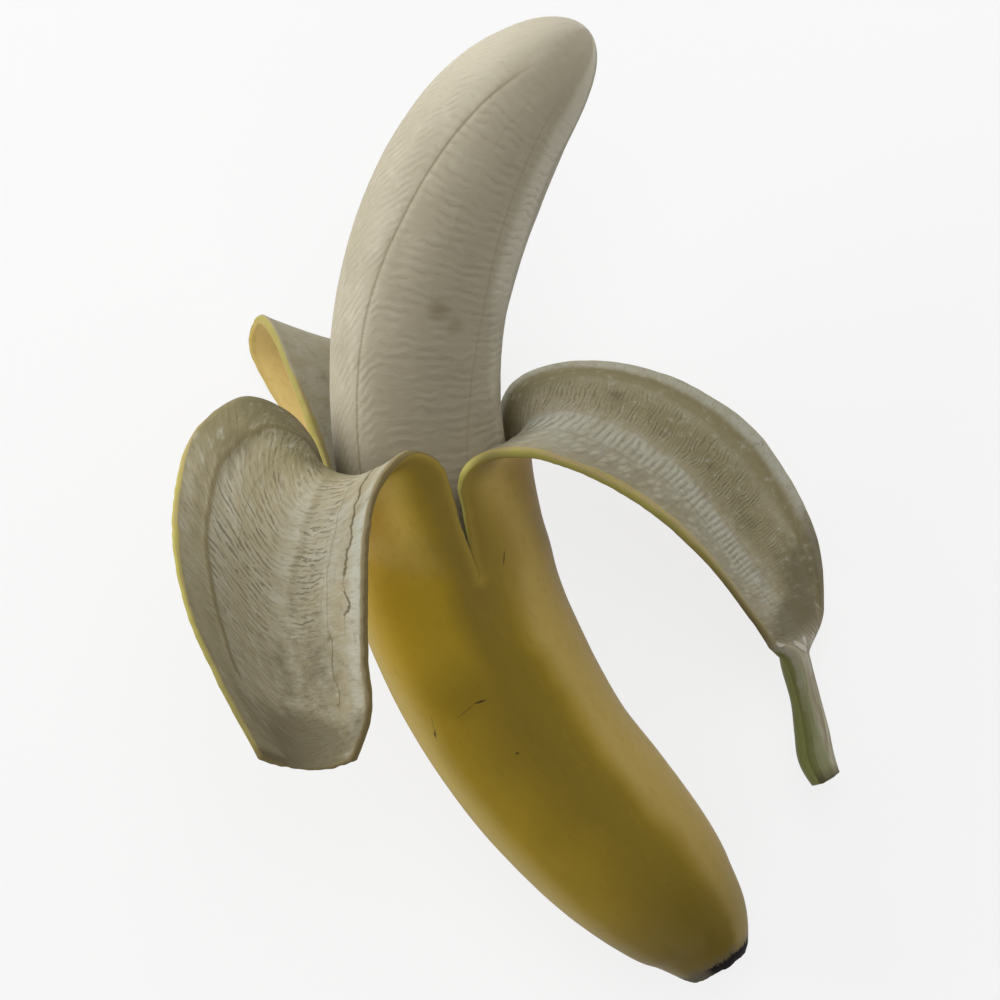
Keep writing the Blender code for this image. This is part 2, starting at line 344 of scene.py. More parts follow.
def spread(facts: Facts, shape: tuple[int, ...]) -> Facts:
    """Gives every point a value of every fact.

    Args:
        facts: what is known, as values that fit the shape. Others take their plain value.
        shape: the shape in which the points lie.

    Returns:
        Every fact, as a flat row of values.
    """
    full = {}
    for fact in Fact:
        value = facts.get(fact, NO_FACTS[fact] if fact in NO_FACTS else facts[Fact.PLACE])
        tail = (3,) if fact in VECTORS else ()
        full[fact] = np.broadcast_to(value, shape + tail).reshape(-1, *tail)
    return full


class BakeSheet:
    """The flat sheet on which every patch of a mesh is laid out, without overlaps."""

    WIDTH = 292.0
    GAP = 2.0

    def __init__(self) -> None:
        """Starts with an empty sheet."""
        self.x = self.y = self.shelf = self.GAP

    def allot(self, width: float, height: float) -> Array:
        """Sets aside a free rectangle.

        Args:
            width: its width.
            height: its height.

        Returns:
            Its lower left corner.
        """
        if self.x + width + self.GAP > self.WIDTH:
            self.x, self.y = self.GAP, self.y + self.shelf + self.GAP
            self.shelf = 0.0
        corner = np.array([self.x, self.y])
        self.x += width + self.GAP
        self.shelf = max(self.shelf, height)
        return corner

    def side(self) -> float:
        """The side of the square that holds all that is laid out."""
        return max(self.WIDTH, self.y + self.shelf + self.GAP)


@dataclass
class Skin:
    """The points, faces, layout and facts of one closed mesh."""

    points: list[Array] = field(default_factory=list)
    facts: dict[Fact, list[Array]] = field(default_factory=dict)
    faces: list[Array] = field(default_factory=list)
    layout: list[Array] = field(default_factory=list)
    sheet: BakeSheet = field(default_factory=BakeSheet)
    count: int = 0

    def add(self, points: Array, facts: Facts) -> Array:
        """Adds points with their facts.

        Args:
            points: points, with x, y and z on the last axis.
            facts: values with the same shape as the points, without their last axis.

        Returns:
            The points' numbers, in the same shape.
        """
        shape = points.shape[:-1]
        size = math.prod(shape)
        self.points.append(points.reshape(-1, 3))
        for fact, values in spread(facts, shape).items():
            self.facts.setdefault(fact, []).append(values)
        self.count += size
        return np.arange(self.count - size, self.count).reshape(shape)

    def join(self, grid: Array, across: Array, along: Array) -> None:
        """Adds the faces between the rows and columns of a grid.

        Args:
            grid: the numbers of its points.
            across: the layout's x at each column, in millimetres, from 0.
            along: the layout's y at each row, in millimetres, from 0.
        """
        corner = self.sheet.allot(float(across[-1]), float(along[-1]))
        flat = np.stack(np.broadcast_arrays(across[None], along[:, None]), axis=-1) + corner
        self.faces.append(quads(grid).reshape(-1, 4))
        self.layout.append(quads(flat).reshape(-1, 4, 2))

    def build(self, name: str, material: Material) -> Object:
        """Makes the object.

        Args:
            name: its name.
            material: its finish.

        Returns:
            The object, linked to the scene, lying on the table.
        """
        points = np.vstack(self.points)
        faces = np.vstack(self.faces)
        layout = np.vstack(self.layout) / self.sheet.side()
        a, b, c, d = (points[faces[:, i]] for i in range(4))
        volume = np.einsum("ij,ij->", a + b + c + d, np.cross(c - a, d - b))
        if volume < 0.0:
            faces, layout = faces[:, ::-1], layout[:, ::-1]
        points = points - (*TABLE_MIDDLE, REST_DEPTH)
        points[:, 2] = np.maximum(points[:, 2], 0.0)
        kept = faces != np.roll(faces, 1, axis=1)  # a cell at a pole has two corners in one
        polygons = [face[keep].tolist() for face, keep in zip(faces, kept)]
        mesh = bpy.data.meshes.new(name)
        mesh.from_pydata((points * MM).tolist(), [], polygons)
        mesh.uv_layers.new(name="OFBake").uv.foreach_set("vector", layout[kept].ravel())
        for fact, values in self.facts.items():
            kind, key = ("FLOAT_VECTOR", "vector") if fact in VECTORS else ("FLOAT", "value")
            attribute = mesh.attributes.new(fact.value, kind, "POINT")
            attribute.data.foreach_set(key, np.concatenate(values).astype(np.float32).ravel())
        mesh.shade_smooth()
        mesh.materials.append(material)
        made = bpy.data.objects.new(name, mesh)
        bpy.context.scene.collection.objects.link(made)
        log.info("%s: %d points, %d faces", name, len(mesh.vertices), len(mesh.polygons))
        return made


def quads(grid: Array) -> Array:
    """The four corners of every cell of a grid, on a new axis after the first two."""
    return np.stack([grid[:-1, :-1], grid[:-1, 1:], grid[1:, 1:], grid[1:, :-1]], axis=2)


# --- the peel ----------------------------------------------------------------------------------


@dataclass(frozen=True)
class Slit:
    """The closed end of a tear in the peel."""

    bearing: float
    station: float

    def towards(self, other: "Slit", share: Array) -> tuple[Array, Array]:
        """Goes round the fruit from this slit to the next.

        Args:
            other: the next slit.
            share: shares of the way.

        Returns:
            The bearing and the station at each.
        """
        bearing = self.bearing + (other.bearing - self.bearing) % 360.0 * share
        return bearing, self.station + (other.station - self.station) * eased(share)


@dataclass(frozen=True)
class Trace:
    """A line along the inside of a strip, such as a string or a crack."""

    guide: tuple[Pair, ...]  # place, share of the way across
    wander: float = 0.0  # how far it strays from a smooth line
    seed: int = 0
    half_width: float = 0.5
    tone: float = 0.6  # how dark it is, 0 to 1
    bends: float = 3.1  # about how many times it bends between two of the strip's given rows
    kinks: Pair = (0.07, 0.35)  # its kinks: the share of a row each takes, and how far they stray

    def distance(self, place: Array, across: Array, width: Array) -> Array:
        """Signed distances across to the line, far past its ends.

        Args:
            place: the place of each row.
            across: the share of the way across of each column.
            width: the width of each row.

        Returns:
            Millimetres, by row and column.
        """
        places, shares = zip(*self.guide)
        share = smooth(np.clip(place, places[0], places[-1]), places, shares)
        bent = [noise.noise(Vector((at * self.bends, self.seed, 0.5))) for at in place]
        kink, depth = self.kinks
        kinked = rumple(np.stack([place] * 3, axis=-1), kink, self.seed)
        stray = self.wander * (np.array(bent) + depth * kinked)
        past = np.maximum(places[0] - place, place - places[-1])
        off = (across[None] - share) * width[:, None] + stray[:, None]
        return off + np.where(off < 0.0, -1.0, 1.0) * np.maximum(past, 0.0)[:, None] * FAR


@dataclass(frozen=True)
class Strip:
    """One strip of the torn peel."""

    rows: tuple[tuple[Triple, Triple, Triple], ...]  # first edge, middle and last edge
    across: Table  # share; ribs, hatching, cells, paleness, olive
    along: Table  # place; all the relief, paleness, olive
    periods: Table  # place, rib spacing
    rims: Table  # place; lip, then tan, each at first and last edge. Below 0 there is no lip
    slants: Table = ((0.0, 0.0), (1.0, 0.0))  # share, how far the ribs run forward for each mm
    strings: tuple[Trace, ...] = ()
    cracks: tuple[Trace, ...] = ()
    rib_height: float = 0.08
    rib_share: float = 0.2  # how much of it is ribbed, from -1 to 1
    rib_wobble: float = 1.0
    sweep: float = 0.0  # how long the lines of the hatching are, 0 to 1
    stained: Table = ()  # spots of brown stain and of painted shade: place, share, reach in each, amount
    # spots of olive that also paint shade: place, share, reach in each, amount
    olive_and_shade_spots: Table = ()
    frayed: Table = ()
    seed: int = 0

    def spacing(self, place: Array) -> Array:
        """The distance between ribs at each place."""
        return smooth(place, *zip(*self.periods))[:, 0]

    def lean(self, share: Array) -> Array:
        """How far the ribs have run forward at each share of the way across, in widths."""
        slant = smooth(share, *zip(*self.slants))[:, 0]
        return np.concatenate([[0.0], np.cumsum((slant[1:] + slant[:-1]) / 2 * np.diff(share))])

    def rib_cycles(self, place: Array, walked: Array, forward: Array) -> Array:
        """Counts the ribs between the strip's slit and each point.

        Args:
            place: the place of each row.
            walked: the distance from the slit of each row.
            forward: how far each point lies from the slit, with the ribs' slant taken out.

        Returns:
            How many ribs, by row and column.
        """
        spacing = self.spacing(place)
        counted = np.concatenate([[0.0], np.cumsum(np.diff(walked) / spacing[1:])])
        cycles = np.interp(forward, walked, counted)
        cycles = np.where(forward < 0.0, forward / spacing[0], cycles)
        over = forward - walked[-1]
        return np.where(over > 0.0, counted[-1] + over / spacing[-1], cycles)


def nearest_trace(
    traces: tuple[Trace, ...], place: Array, share: Array, width: Array, scaled: bool
) -> tuple[Array, Array]:
    """Finds which of some traces is nearest to each point of a strip.

    Args:
        traces: the traces.
        place: the place of each row.
        share: the share of the way across of each column.
        width: the width of each row.
        scaled: whether to count in the trace's half widths, not in millimetres.

    Returns:
        The signed distance across to that trace, and its tone, by row and column.
    """
    best = np.full((len(place), len(share)), FAR)
    tone = np.zeros_like(best)
    for trace in traces:
        off = trace.distance(place, share, width)
        off = off / trace.half_width if scaled else off
        closer = np.abs(off) < np.abs(best)
        best, tone = np.where(closer, off, best), np.where(closer, trace.tone, tone)
    return np.clip(best, -FAR, FAR), tone


def spotted(spots: Table, place: Array, share: Array) -> Array:
    """Lays soft round spots on a strip.

    Args:
        spots: the place, the share, the reach in each and the amount of each spot.
        place: the place of each row.
        share: the share of the way across of each column.

    Returns:
        The amount at each point, by row and column.
    """
    total = np.zeros((len(place), len(share)))
    for at, toward, reach, reach_across, amount in spots:
        off = np.hypot((place[:, None] - at) / reach, (share[None] - toward) / reach_across)
        total = np.maximum(total, amount * hump(off, 1.0))
    return total


@dataclass(frozen=True)
class Stem:
    """The stem, as more rows of the strip that carries it."""

    stations: tuple[tuple[Triple, float, float], ...] = (  # centre, half width, thickness
        ((59.4, -31.3, 13.5), 3.7, 6.0),
        ((61.7, -40.0, 12.5), 3.5, 6.0),
        ((63.0, -46.5, 12.0), 3.6, 7.0),
        ((64.0, -52.0, 11.5), 3.8, 7.4),
        ((66.0, -56.5, 11.5), 3.2, 6.2),
    )
    across: Triple = (-0.3, -0.06, 0.95)
    flatness: float = 0.92  # 1 draws its two edges out sharp
    neck_fullness: float = 0.4  # how much less sharp they are where leaf and stem meet
    neck_spot: Pair = (0.5, 0.9)  # that spot's middle and reach, in rows past the strip
    neck_swell: float = 1.5  # how thick the leaf's last row is, as a share of its wall
    swell: Pair = (-3.0, 0.8)  # where the leaf thickens, in rows past the strip
    fade: float = 1.5  # how many rows before the stem its looks begin
    lip_fade: Pair = (0.12, 0.32)  # where the torn edge's colour leaves the pith, from 0 to 1
    relief_fade: float = 1.0 / 3.0  # by where the pith's relief has sunk to what the stem keeps
    relief_kept: float = 0.2

    def rows(self) -> Array:
        """Lays the stem's rows.

        Returns:
            Their first edge, middle and last edge, as a strip gives its rows.
        """
        centre = np.array([point for point, _, _ in self.stations])
        half = np.array([[width] for _, width, _ in self.stations]) * np.array(self.across)
        return np.stack([centre + half, centre, centre - half], axis=1)

    def thickness(self, place: Array, across: Array, leaf: Array, neck: int) -> Array:
        """The thickness along and across the strip that runs on into the stem.

        Args:
            place: the place of each row.
            across: -1 to 1 across the strip.
            leaf: the strip's own thickness at each column.
            neck: the place of the strip's last row.

        Returns:
            Millimetres, by row and column.
        """
        wall = float(leaf.max())
        depths = [wall, self.neck_swell * wall, *(depth for _, _, depth in self.stations)]
        places = [0.0, *range(neck, neck + len(self.stations) + 1)]
        middle, reach = self.neck_spot
        flat = self.flatness - self.neck_fullness * hump(place - neck - middle, reach)
        round_section = smooth(place, places, depths) * np.sqrt(1.0 - flat[:, None] * across**2)
        start, end = self.swell
        share = eased((place - neck - start) / (end - start))[:, None]
        return leaf * (1.0 - share) + round_section * share

    def take_over(self, facts: Facts, place: Array, neck: int) -> Array:
        """Gives the stem's part of a strip the stem's looks.

        Args:
            facts: what is known on the strip, to be changed.
            place: the place of each row.
            neck: the place of the strip's last row.

        Returns:
            The share of its relief that each row keeps, with two more axes.
        """
        way = (place - neck + self.fade) / (len(self.stations) + self.fade)
        way = np.clip(way, 0.0, 1.0)[:, None]
        start, end = self.lip_fade
        facts[Fact.STEM] = np.tile(way, (1, facts[Fact.EDGE].shape[1]))
        facts[Fact.LIP] = facts[Fact.LIP] * (1.0 - eased((way - start) / (end - start)))
        sunk = (1.0 - self.relief_kept) * eased(way / self.relief_fade)
        return (1.0 - sunk)[..., None]


@dataclass
class Peel:
    """The peel: a tube torn into three strips, one of them with the stem."""

    form: FruitForm
    slits: tuple[Slit, ...] = (Slit(17.5, 101.0), Slit(140.0, 98.0), Slit(265.0, 113.0))
    stem: Stem = field(default_factory=Stem)
    torn_edge: float = 0.8  # thickness at a torn edge, as a share of the wall
    ridge_rise: float = 0.026
    ridge_sharpness: float = 0.22
    ridge_bearing: float = 30.0  # of the first ridge
    hip: Triple = (92.0, 100.0, 0.8)  # a fuller spot's bearing, station and height
    hip_reach: Pair = (35.0, 8.0)  # its reach, in degrees and in millimetres
    round_rows: float = 3.0  # how many of a strip's given rows it takes to lose the tube's form
    blossom_dish: float = 0.9  # how deep the end's face is
    columns: int = 56  # of each strip
    row_step: float = 0.62
    tube_rows: int = 84
    row_crowding: float = 1.2  # above 1, the tube's rows crowd towards the blossom end
    face_rings: int = 8
    rim_steps: int = 4
    rim_bulge: float = 0.22  # how far a torn edge swells, as a share of its thickness
    rim_lumps: tuple[Lumps, ...] = (Lumps(1.6, 0.5, 31), Lumps(5.0, 0.3, 32))
    ragged: float = 0.22  # how unevenly the peel tears
    ragged_lumps: tuple[Lumps, ...] = (Lumps(2.2, 0.6, 11), Lumps(7.0, 1.0, 12))
    ragged_columns: int = 4  # how many columns share in it
    ragged_from: float = 1.5  # the place at which it is in full
    tube_lumps: tuple[Lumps, ...] = (Lumps(13.0, 0.1, 1), Lumps(5.0, 0.03, 2))
    crust_lumps: tuple[Lumps, ...] = (Lumps(4.0, 0.2, 3), Lumps(1.6, 0.08, 4))
    crust_reach: float = 1.6  # how soon the crust of the blossom end thins out
    skin_lumps: Lumps = Lumps(12.0, 0.14, 1)
    pith_lumps: tuple[Lumps, ...] = (Lumps(9.0, 0.14, 4), Lumps(3.0, 0.06, 5))
    rib_bends: tuple[Lumps, ...] = (Lumps(4.2, 0.5, 1), Lumps(1.7, 0.2, 2))
    rib_patches: Lumps = Lumps((3.2, 2.2, 1.0), 1.0, 3)
    rib_softness: float = 0.5  # how slowly the ribs fade in and out
    fewest_rows: float = 2.4  # how many rows a rib needs before it is raised
    string_height: float = 0.2
    string_reach: float = 1.1  # in half widths
    crack_lips: Triple = (0.1, 0.9, 0.6)  # their height, distance from the crack and reach
    crack_reach: float = 0.45
    settling: Pair = (1.2, 1.5)  # the relief is full at this place and this far from an edge
    inside_room: float = 0.35  # the tube's inside needs this share of its size to be baked
    strips: tuple[Strip, ...] = field(default_factory=lambda: (STEM_STRIP, UNDER_STRIP, SIDE_STRIP))

    def __post_init__(self) -> None:
        """Prepares the axis and the empty mid-surface."""
        self.axis = self.form.axis()
        self.points: list[Array] = []
        self.thickness: list[Array] = []
        self.relief: list[Array] = []
        self.facts: list[Facts] = []
        self.grids: list[tuple[Array, Array, Array]] = []
        self.count = 0

    def tube_radius(self, station: Array, bearing: Array) -> Array:
        """Reads the tube's outer radius, with its ridges.

        Args:
            station: how far along.
            bearing: in which direction.

        Returns:
            Millimetres from the axis.
        """
        middle, station_middle, rise = self.hip
        reach, station_reach = self.hip_reach
        fuller = hump(turned(bearing, middle), reach)
        fuller = fuller * hump(station - station_middle, station_reach)
        turn = bearing - self.ridge_bearing
        radius = self.form.peel_radius(station)
        ridged = self.form.faceted(radius, turn, self.ridge_rise, self.ridge_sharpness)
        return ridged + rise * fuller

    def tube_point(self, station: Array, bearing: Array) -> Array:
        """Finds points half way through the tube's wall.

        Args:
            station: how far along.
            bearing: in which direction.

        Returns:
            Points, with x, y and z on the last axis.
        """
        station, bearing = np.broadcast_arrays(np.asarray(station, float), bearing)
        radius = self.tube_radius(station, bearing) - self.form.wall / 2
        return self.axis.point(station, bearing, radius)

    def torn_ring(self) -> tuple[Array, Array]:
        """Lays out the tube's columns, strip by strip.

        Returns:
            The bearing and the last station of each.
        """
        share = np.arange(self.columns) / self.columns
        pairs = zip(self.slits, self.slits[1:] + self.slits[:1])
        bearings, stations = zip(*(here.towards(there, share) for here, there in pairs))
        return np.concatenate(bearings), np.concatenate(stations)

    def keep(self, points: Array, thickness: Array, relief: Array, facts: Facts) -> Array:
        """Adds points to the mid-surface.

        Args:
            points: points, with x, y and z on the last axis.
            thickness: the peel's thickness at each.
            relief: how far the skin and the pith stand proud, on the last axis.
            facts: what is known at each.

        Returns:
            The points' numbers, in the same shape.
        """
        shape = points.shape[:-1]
        size = math.prod(shape)
        self.points.append(points.reshape(-1, 3))
        self.thickness.append(np.broadcast_to(thickness, shape).ravel())
        self.relief.append(np.broadcast_to(relief, (*shape, 2)).reshape(-1, 2))
        self.facts.append(spread(facts, shape))
        self.count += size
        return np.arange(self.count - size, self.count).reshape(shape)

    def lay_tube(self) -> Array:
        """Makes the closed tube with the blossom end.

        Returns:
            The numbers of the points round its torn end, the first of them again at the end.
        """
        bearings, stations = self.torn_ring()
        share = np.linspace(0.0, 1.0, self.tube_rows + 1)[:, None] ** self.row_crowding
        station = share * stations
        side = self.tube_point(station, bearings)
        ring = (np.arange(1, self.face_rings) / self.face_rings)[:, None]
        dish = self.blossom_dish * (1.0 - ring**2)
        rim = self.tube_radius(np.zeros(1), bearings) - self.form.wall / 2
        face = self.axis.point(dish, bearings, ring * rim)
        pole = self.axis.point(np.array([self.blossom_dish]), np.zeros(1), np.zeros(1))
        points = np.concatenate([np.repeat(pole[None], len(bearings), axis=1), face, side])
        depth = np.vstack([np.zeros((self.face_rings, 1)), station[:, :1]])
        sunk = np.vstack([[[self.blossom_dish]], dish]) + np.zeros(len(bearings))
        above = np.vstack([sunk, station])
        place = self.form.straightened(above, bearings)
        inward = np.concatenate([np.zeros(1), ring[:, 0], np.ones(len(share))])
        place[..., :2] *= inward[:, None, None]
        crust = np.exp(-depth / self.crust_reach) * layered(self.crust_lumps, place)
        lumps = layered(self.tube_lumps, place) + crust
        relief = np.stack([lumps, np.zeros_like(lumps)], axis=-1)
        facts = {Fact.PLACE: place, Fact.EDGE: self.slit_distance(above, bearings)}
        around = {fact: values[1:] for fact, values in facts.items()}
        ids = self.keep(points[1:], self.form.wall, relief[1:], around)
        only = {fact: values[:1, :1] for fact, values in facts.items()}
        centre = self.keep(points[:1, :1], self.form.wall, relief[:1, :1], only)
        grid = np.vstack([np.repeat(centre, len(bearings), axis=1), ids])
        grid = np.hstack([grid, grid[:, :1]])
        across = np.linspace(0.0, math.tau * self.form.texture_radius, grid.shape[1])
        walked = arc_lengths(points, 0).mean(axis=1)
        self.grids.append((grid, across, walked))
        return grid[-1]

    def slit_distance(self, station: Array, bearing: Array) -> Array:
        """Measures how far points of the tube lie from the nearest slit's closed end.

        Args:
            station: how far along each lies.
            bearing: in which direction.

        Returns:
            Millimetres along the surface.
        """
        nearest = np.full(station.shape, FAR)
        for slit in self.slits:
            aside = np.radians(turned(bearing, slit.bearing)) * self.form.texture_radius
            nearest = np.minimum(nearest, np.hypot(aside, station - slit.station))
        return nearest

    def carrying_lines(self, rows: Array, start: Slit, end: Slit) -> list[Line]:
        """Functions from place to point for a strip's first edge, middle and last edge.

        Args:
            rows: the strip's given rows.
            start: the slit at its first edge.
            end: the slit at its last edge.

        Returns:
            The three functions.
        """
        lines = []
        for index, share in enumerate((0.0, 0.5, 1.0)):
            bearing, station = start.towards(end, np.array(share))
            root = self.tube_point(station, bearing)
            heading = root - self.tube_point(station - 1.0, bearing)
            points = np.vstack([root, rows[:, index]])
            slope = heading * np.linalg.norm(points[1] - points[0])
            lines.append(lambda at, p=points, s=slope: smooth(at, range(len(p)), p, s))
        return lines

    def strip_surface(self, lines: list[Line], ring: Array, place: Array) -> Array:
        """Lays a strip's mid-surface through its three carrying lines.

        Args:
            lines: the carrying lines.
            ring: the points of the tube's torn end that the strip hangs on.
            place: the place of each row.

        Returns:
            Points by row and column, the ring first.
        """
        across = np.linspace(0.0, 1.0, len(ring))[None, :, None]
        first, middle, last = (line(place)[:, None, :] for line in lines)
        pull = 2.0 * middle - (first + last) / 2.0
        surface = first * (1 - across) ** 2 + 2 * pull * across * (1 - across) + last * across**2
        roundness = ring[None] - surface[:1]
        return surface + roundness * (1.0 - eased(place / self.round_rows))[:, None, None]

    def rows_along(self, lines: list[Line], last: float) -> Array:
        """Spaces rows evenly along a strip.

        Args:
            lines: the carrying lines.
            last: the strip's last place.

        Returns:
            The place of each row.
        """
        fine = np.linspace(0.0, last, 400)
        walked = np.mean([arc_lengths(line(fine), 0) for line in lines], axis=0)
        count = round(float(walked[-1]) / self.row_step)
        return np.interp(np.linspace(0.0, walked[-1], count + 1), walked, fine)

    def lay_strip(self, index: int, ring: Array) -> None:
        """Makes one strip, and the stem if it is the first.

        Args:
            index: the strip's number, which is that of the slit where it starts.
            ring: the numbers of the points round the tube's torn end.
        """
        strip = self.strips[index]
        ids = ring[index * self.columns : (index + 1) * self.columns + 1]
        root = np.vstack(self.points)[ids]
        start, end = self.slits[index], self.slits[(index + 1) % len(self.slits)]
        rows, neck = np.array(strip.rows), len(strip.rows)
        share = np.linspace(0.0, 1.0, len(ids))
        leaf = self.form.wall * (1.0 - (1.0 - self.torn_edge) * (2.0 * share - 1.0) ** 6)
        if index == 0:
            rows = np.concatenate([rows, self.stem.rows()])
        lines = self.carrying_lines(rows, start, end)
        place = self.rows_along(lines, len(rows))
        surface = self.tear(self.strip_surface(lines, root, place), place, strip.seed)
        thickness = np.tile(leaf, (len(place), 1))
        facts, relief = self.read_strip(strip, surface, place, share, start, end)
        if index == 0:
            thickness = self.stem.thickness(place, 2.0 * share - 1.0, leaf, neck)
            relief *= self.stem.take_over(facts, place, neck)
        beyond = {fact: values[1:] for fact, values in facts.items()}
        added = self.keep(surface[1:], thickness[1:], relief[1:], beyond)
        across = arc_lengths(surface, 1).mean(axis=0)
        walked = arc_lengths(surface, 0).mean(axis=1)
        self.grids.append((np.vstack([ids, added]), across, walked))

    def tear(self, surface: Array, place: Array, seed: int) -> Array:
        """Makes a strip's two long edges a little ragged.

        Args:
            surface: its mid-surface.
            place: the place of each row.
            seed: the strip's seed.

        Returns:
            The mid-surface with its ragged edges.
        """
        torn = surface.copy()
        fade = eased(place / self.ragged_from)[:, None]
        reach = self.ragged_columns
        for edge, inwards in ((0, 1), (-1, -1)):
            line = surface[:, edge]
            outward = line - surface[:, edge + inwards * (reach - 1)]
            outward /= np.linalg.norm(outward, axis=1, keepdims=True) + 1e-9
            uneven = layered(self.ragged_lumps, line, seed)
            shift = outward * (self.ragged * uneven)[:, None] * fade
            for step in range(reach):
                torn[:, edge + inwards * step] += shift * (1.0 - step / reach)
        return torn

    def read_strip(
        self, strip: Strip, surface: Array, place: Array, share: Array, start: Slit, end: Slit
    ) -> tuple[Facts, Array]:
        """What a finish can read on a strip, and how its surfaces stand proud.

        Args:
            strip: the strip.
            surface: its mid-surface.
            place: the place of each row.
            share: the share of the way across of each column.
            start: the slit at its first edge.
            end: the slit at its last edge.

        Returns:
            The facts, and the relief of the skin and the pith on the last axis.
        """
        aside = arc_lengths(surface, 1)
        width = aside[:, -1]
        walked = arc_lengths(surface, 0)
        mean = walked.mean(axis=1)
        edge = np.minimum(aside, width[:, None] - aside)
        edge = np.minimum(edge, walked[-1:] - walked)
        bearing, station = start.towards(end, share)
        straight = self.form.straightened(station[None] + mean[:, None], bearing[None])
        forward = mean[:, None] - strip.lean(share)[None] * width[:, None]
        weave = np.stack([aside, forward, np.full_like(aside, strip.seed)], axis=-1)
        cycles = strip.rib_cycles(place, mean, forward)
        cycles = cycles + strip.rib_wobble * layered(self.rib_bends, weave, strip.seed)
        string, tone = nearest_trace(strip.strings, place, share, width, True)
        crack, _ = nearest_trace(strip.cracks, place, share, width, False)
        ribs, hatch, cells, pale, olive = smooth(share, *split(strip.across)).T[:, None, :]
        fade, pale_and_lit, greening = smooth(place, *split(strip.along)).T[:, :, None]
        patches = self.rib_patches.at(weave, strip.seed) + strip.rib_share
        ribs = np.clip(ribs * fade * eased(0.5 + patches / self.rib_softness), 0.0, 1.0)
        last = eased((share - 0.45) * 10.0)[None]  # 0 in the first half, 1 in the last
        rims = smooth(place, *split(strip.rims)).T[:, :, None]
        lip_first, lip_last, tan_first, tan_last = rims
        green = olive + greening + spotted(strip.olive_and_shade_spots, place, share)
        facts = {
            Fact.PLACE: straight,
            Fact.WEAVE: weave,
            Fact.EDGE: edge,
            Fact.LIP: lip_first * (1.0 - last) + lip_last * last,
            Fact.TAN: tan_first * (1.0 - last) + tan_last * last,
            Fact.STRING: string,
            Fact.TONE: tone,
            Fact.CRACK: crack,
            Fact.CYCLES: cycles,
            Fact.RIBS: ribs,
            Fact.HATCH: np.clip(hatch * fade, 0.0, 1.0),
            Fact.SWEEP: np.array(strip.sweep),
            Fact.CELLS: np.clip(cells * fade, 0.0, 1.0),
            Fact.PALE: np.clip(pale * pale_and_lit, 0.0, MOST_PALE_AND_LIT),
            Fact.OLIVE: np.clip(green, 0.0, 1.0),
            Fact.STAIN: spotted(strip.stained, place, share),
            Fact.FRAY: spotted(strip.frayed, place, share),
        }
        for fact in facts.keys() - set(VECTORS):
            facts[fact] = np.broadcast_to(facts[fact], surface.shape[:2])
        rows_per_rib = strip.spacing(place) / self.row_step
        resolved = np.clip(rows_per_rib - self.fewest_rows, 0.0, 1.0)[:, None]
        wave = strip.rib_height * np.sin(math.tau * cycles) * ribs * resolved
        raised = self.string_height * tone * hump(string, self.string_reach)
        height, off, reach = self.crack_lips
        lips = height * (hump(np.abs(crack) - off, reach) - hump(crack, self.crack_reach))
        inner = wave + layered(self.pith_lumps, weave, strip.seed) + raised + lips
        relief = np.stack([self.skin_lumps.at(straight), inner], axis=-1)
        full_at, full_from = self.settling
        settled = eased(place / full_at)[:, None] * eased(edge / full_from)
        return facts, relief * settled[..., None]

    def normals(self, points: Array) -> Array:
        """Works out the mid-surface's unit normals, each face weighted by its area.

        Args:
            points: the mid-surface's points.

        Returns:
            A normal for each point.
        """
        total = np.zeros_like(points)
        for grid, _, _ in self.grids:
            a, b, c, d = (points[corner] for corner in np.moveaxis(quads(grid), 2, 0))
            area = np.cross(c - a, d - b)
            for corner in np.moveaxis(quads(grid), 2, 0):
                np.add.at(total, corner, area)
        return total / np.linalg.norm(total, axis=1, keepdims=True)

    def torn_loop(self) -> Array:
        """Walks round the one open edge of the mid-surface.

        Returns:
            The numbers of its points, in order.
        """
        faces = np.vstack([quads(grid).reshape(-1, 4) for grid, _, _ in self.grids])
        starts = faces.ravel()
        ends = np.roll(faces, -1, axis=1).ravel()
        real = starts != ends
        starts, ends = starts[real], ends[real]
        open_sides = ~np.isin(starts * self.count + ends, ends * self.count + starts)
        following = dict(zip(starts[open_sides].tolist(), ends[open_sides].tolist()))
        first = next(iter(following))
        loop = [first]
        while following[loop[-1]] != first:
            loop.append(following[loop[-1]])
        return np.array(loop)

    def close(self) -> Skin:
        """Thickens the mid-surface into a closed mesh.

        Returns:
            The skin, the pith and the torn edge between them.
        """
        middle = np.vstack(self.points)
        normal = self.normals(middle)
        half = np.concatenate(self.thickness)[:, None] / 2.0
        relief = np.vstack(self.relief)
        facts = {fact: np.concatenate([f[fact] for f in self.facts]) for fact in self.facts[0]}
        outer = middle + normal * (half + relief[:, :1])
        inner = middle - normal * (half + relief[:, 1:])
        skin = Skin()
        outside = skin.add(outer, facts | {Fact.SIDE: np.array(1.0)})
        inside = skin.add(inner, facts | {Fact.SIDE: np.array(-1.0)})
        for index, (grid, across, along) in enumerate(self.grids):
            room = self.inside_room if index == 0 else 1.0
            skin.join(outside[grid], across, along)
            skin.join(inside[grid][:, ::-1], across * room, along * room)
        loop = self.torn_loop()
        rim = self.swelling(outer[loop], inner[loop], normal[loop], half[loop])
        around = {fact: values[loop] for fact, values in facts.items()}
        rows = [outside[loop]]
        for step, points in enumerate(rim, 1):
            side = np.array(1.0 - 2.0 * step / self.rim_steps)
            here = around | {Fact.SIDE: side, Fact.EDGE: np.array(0.0)}
            rows.append(skin.add(points, here))
        rows.append(inside[loop])
        self.join_rim(skin, np.stack(rows), (outer[loop] + inner[loop]) / 2.0)
        return skin

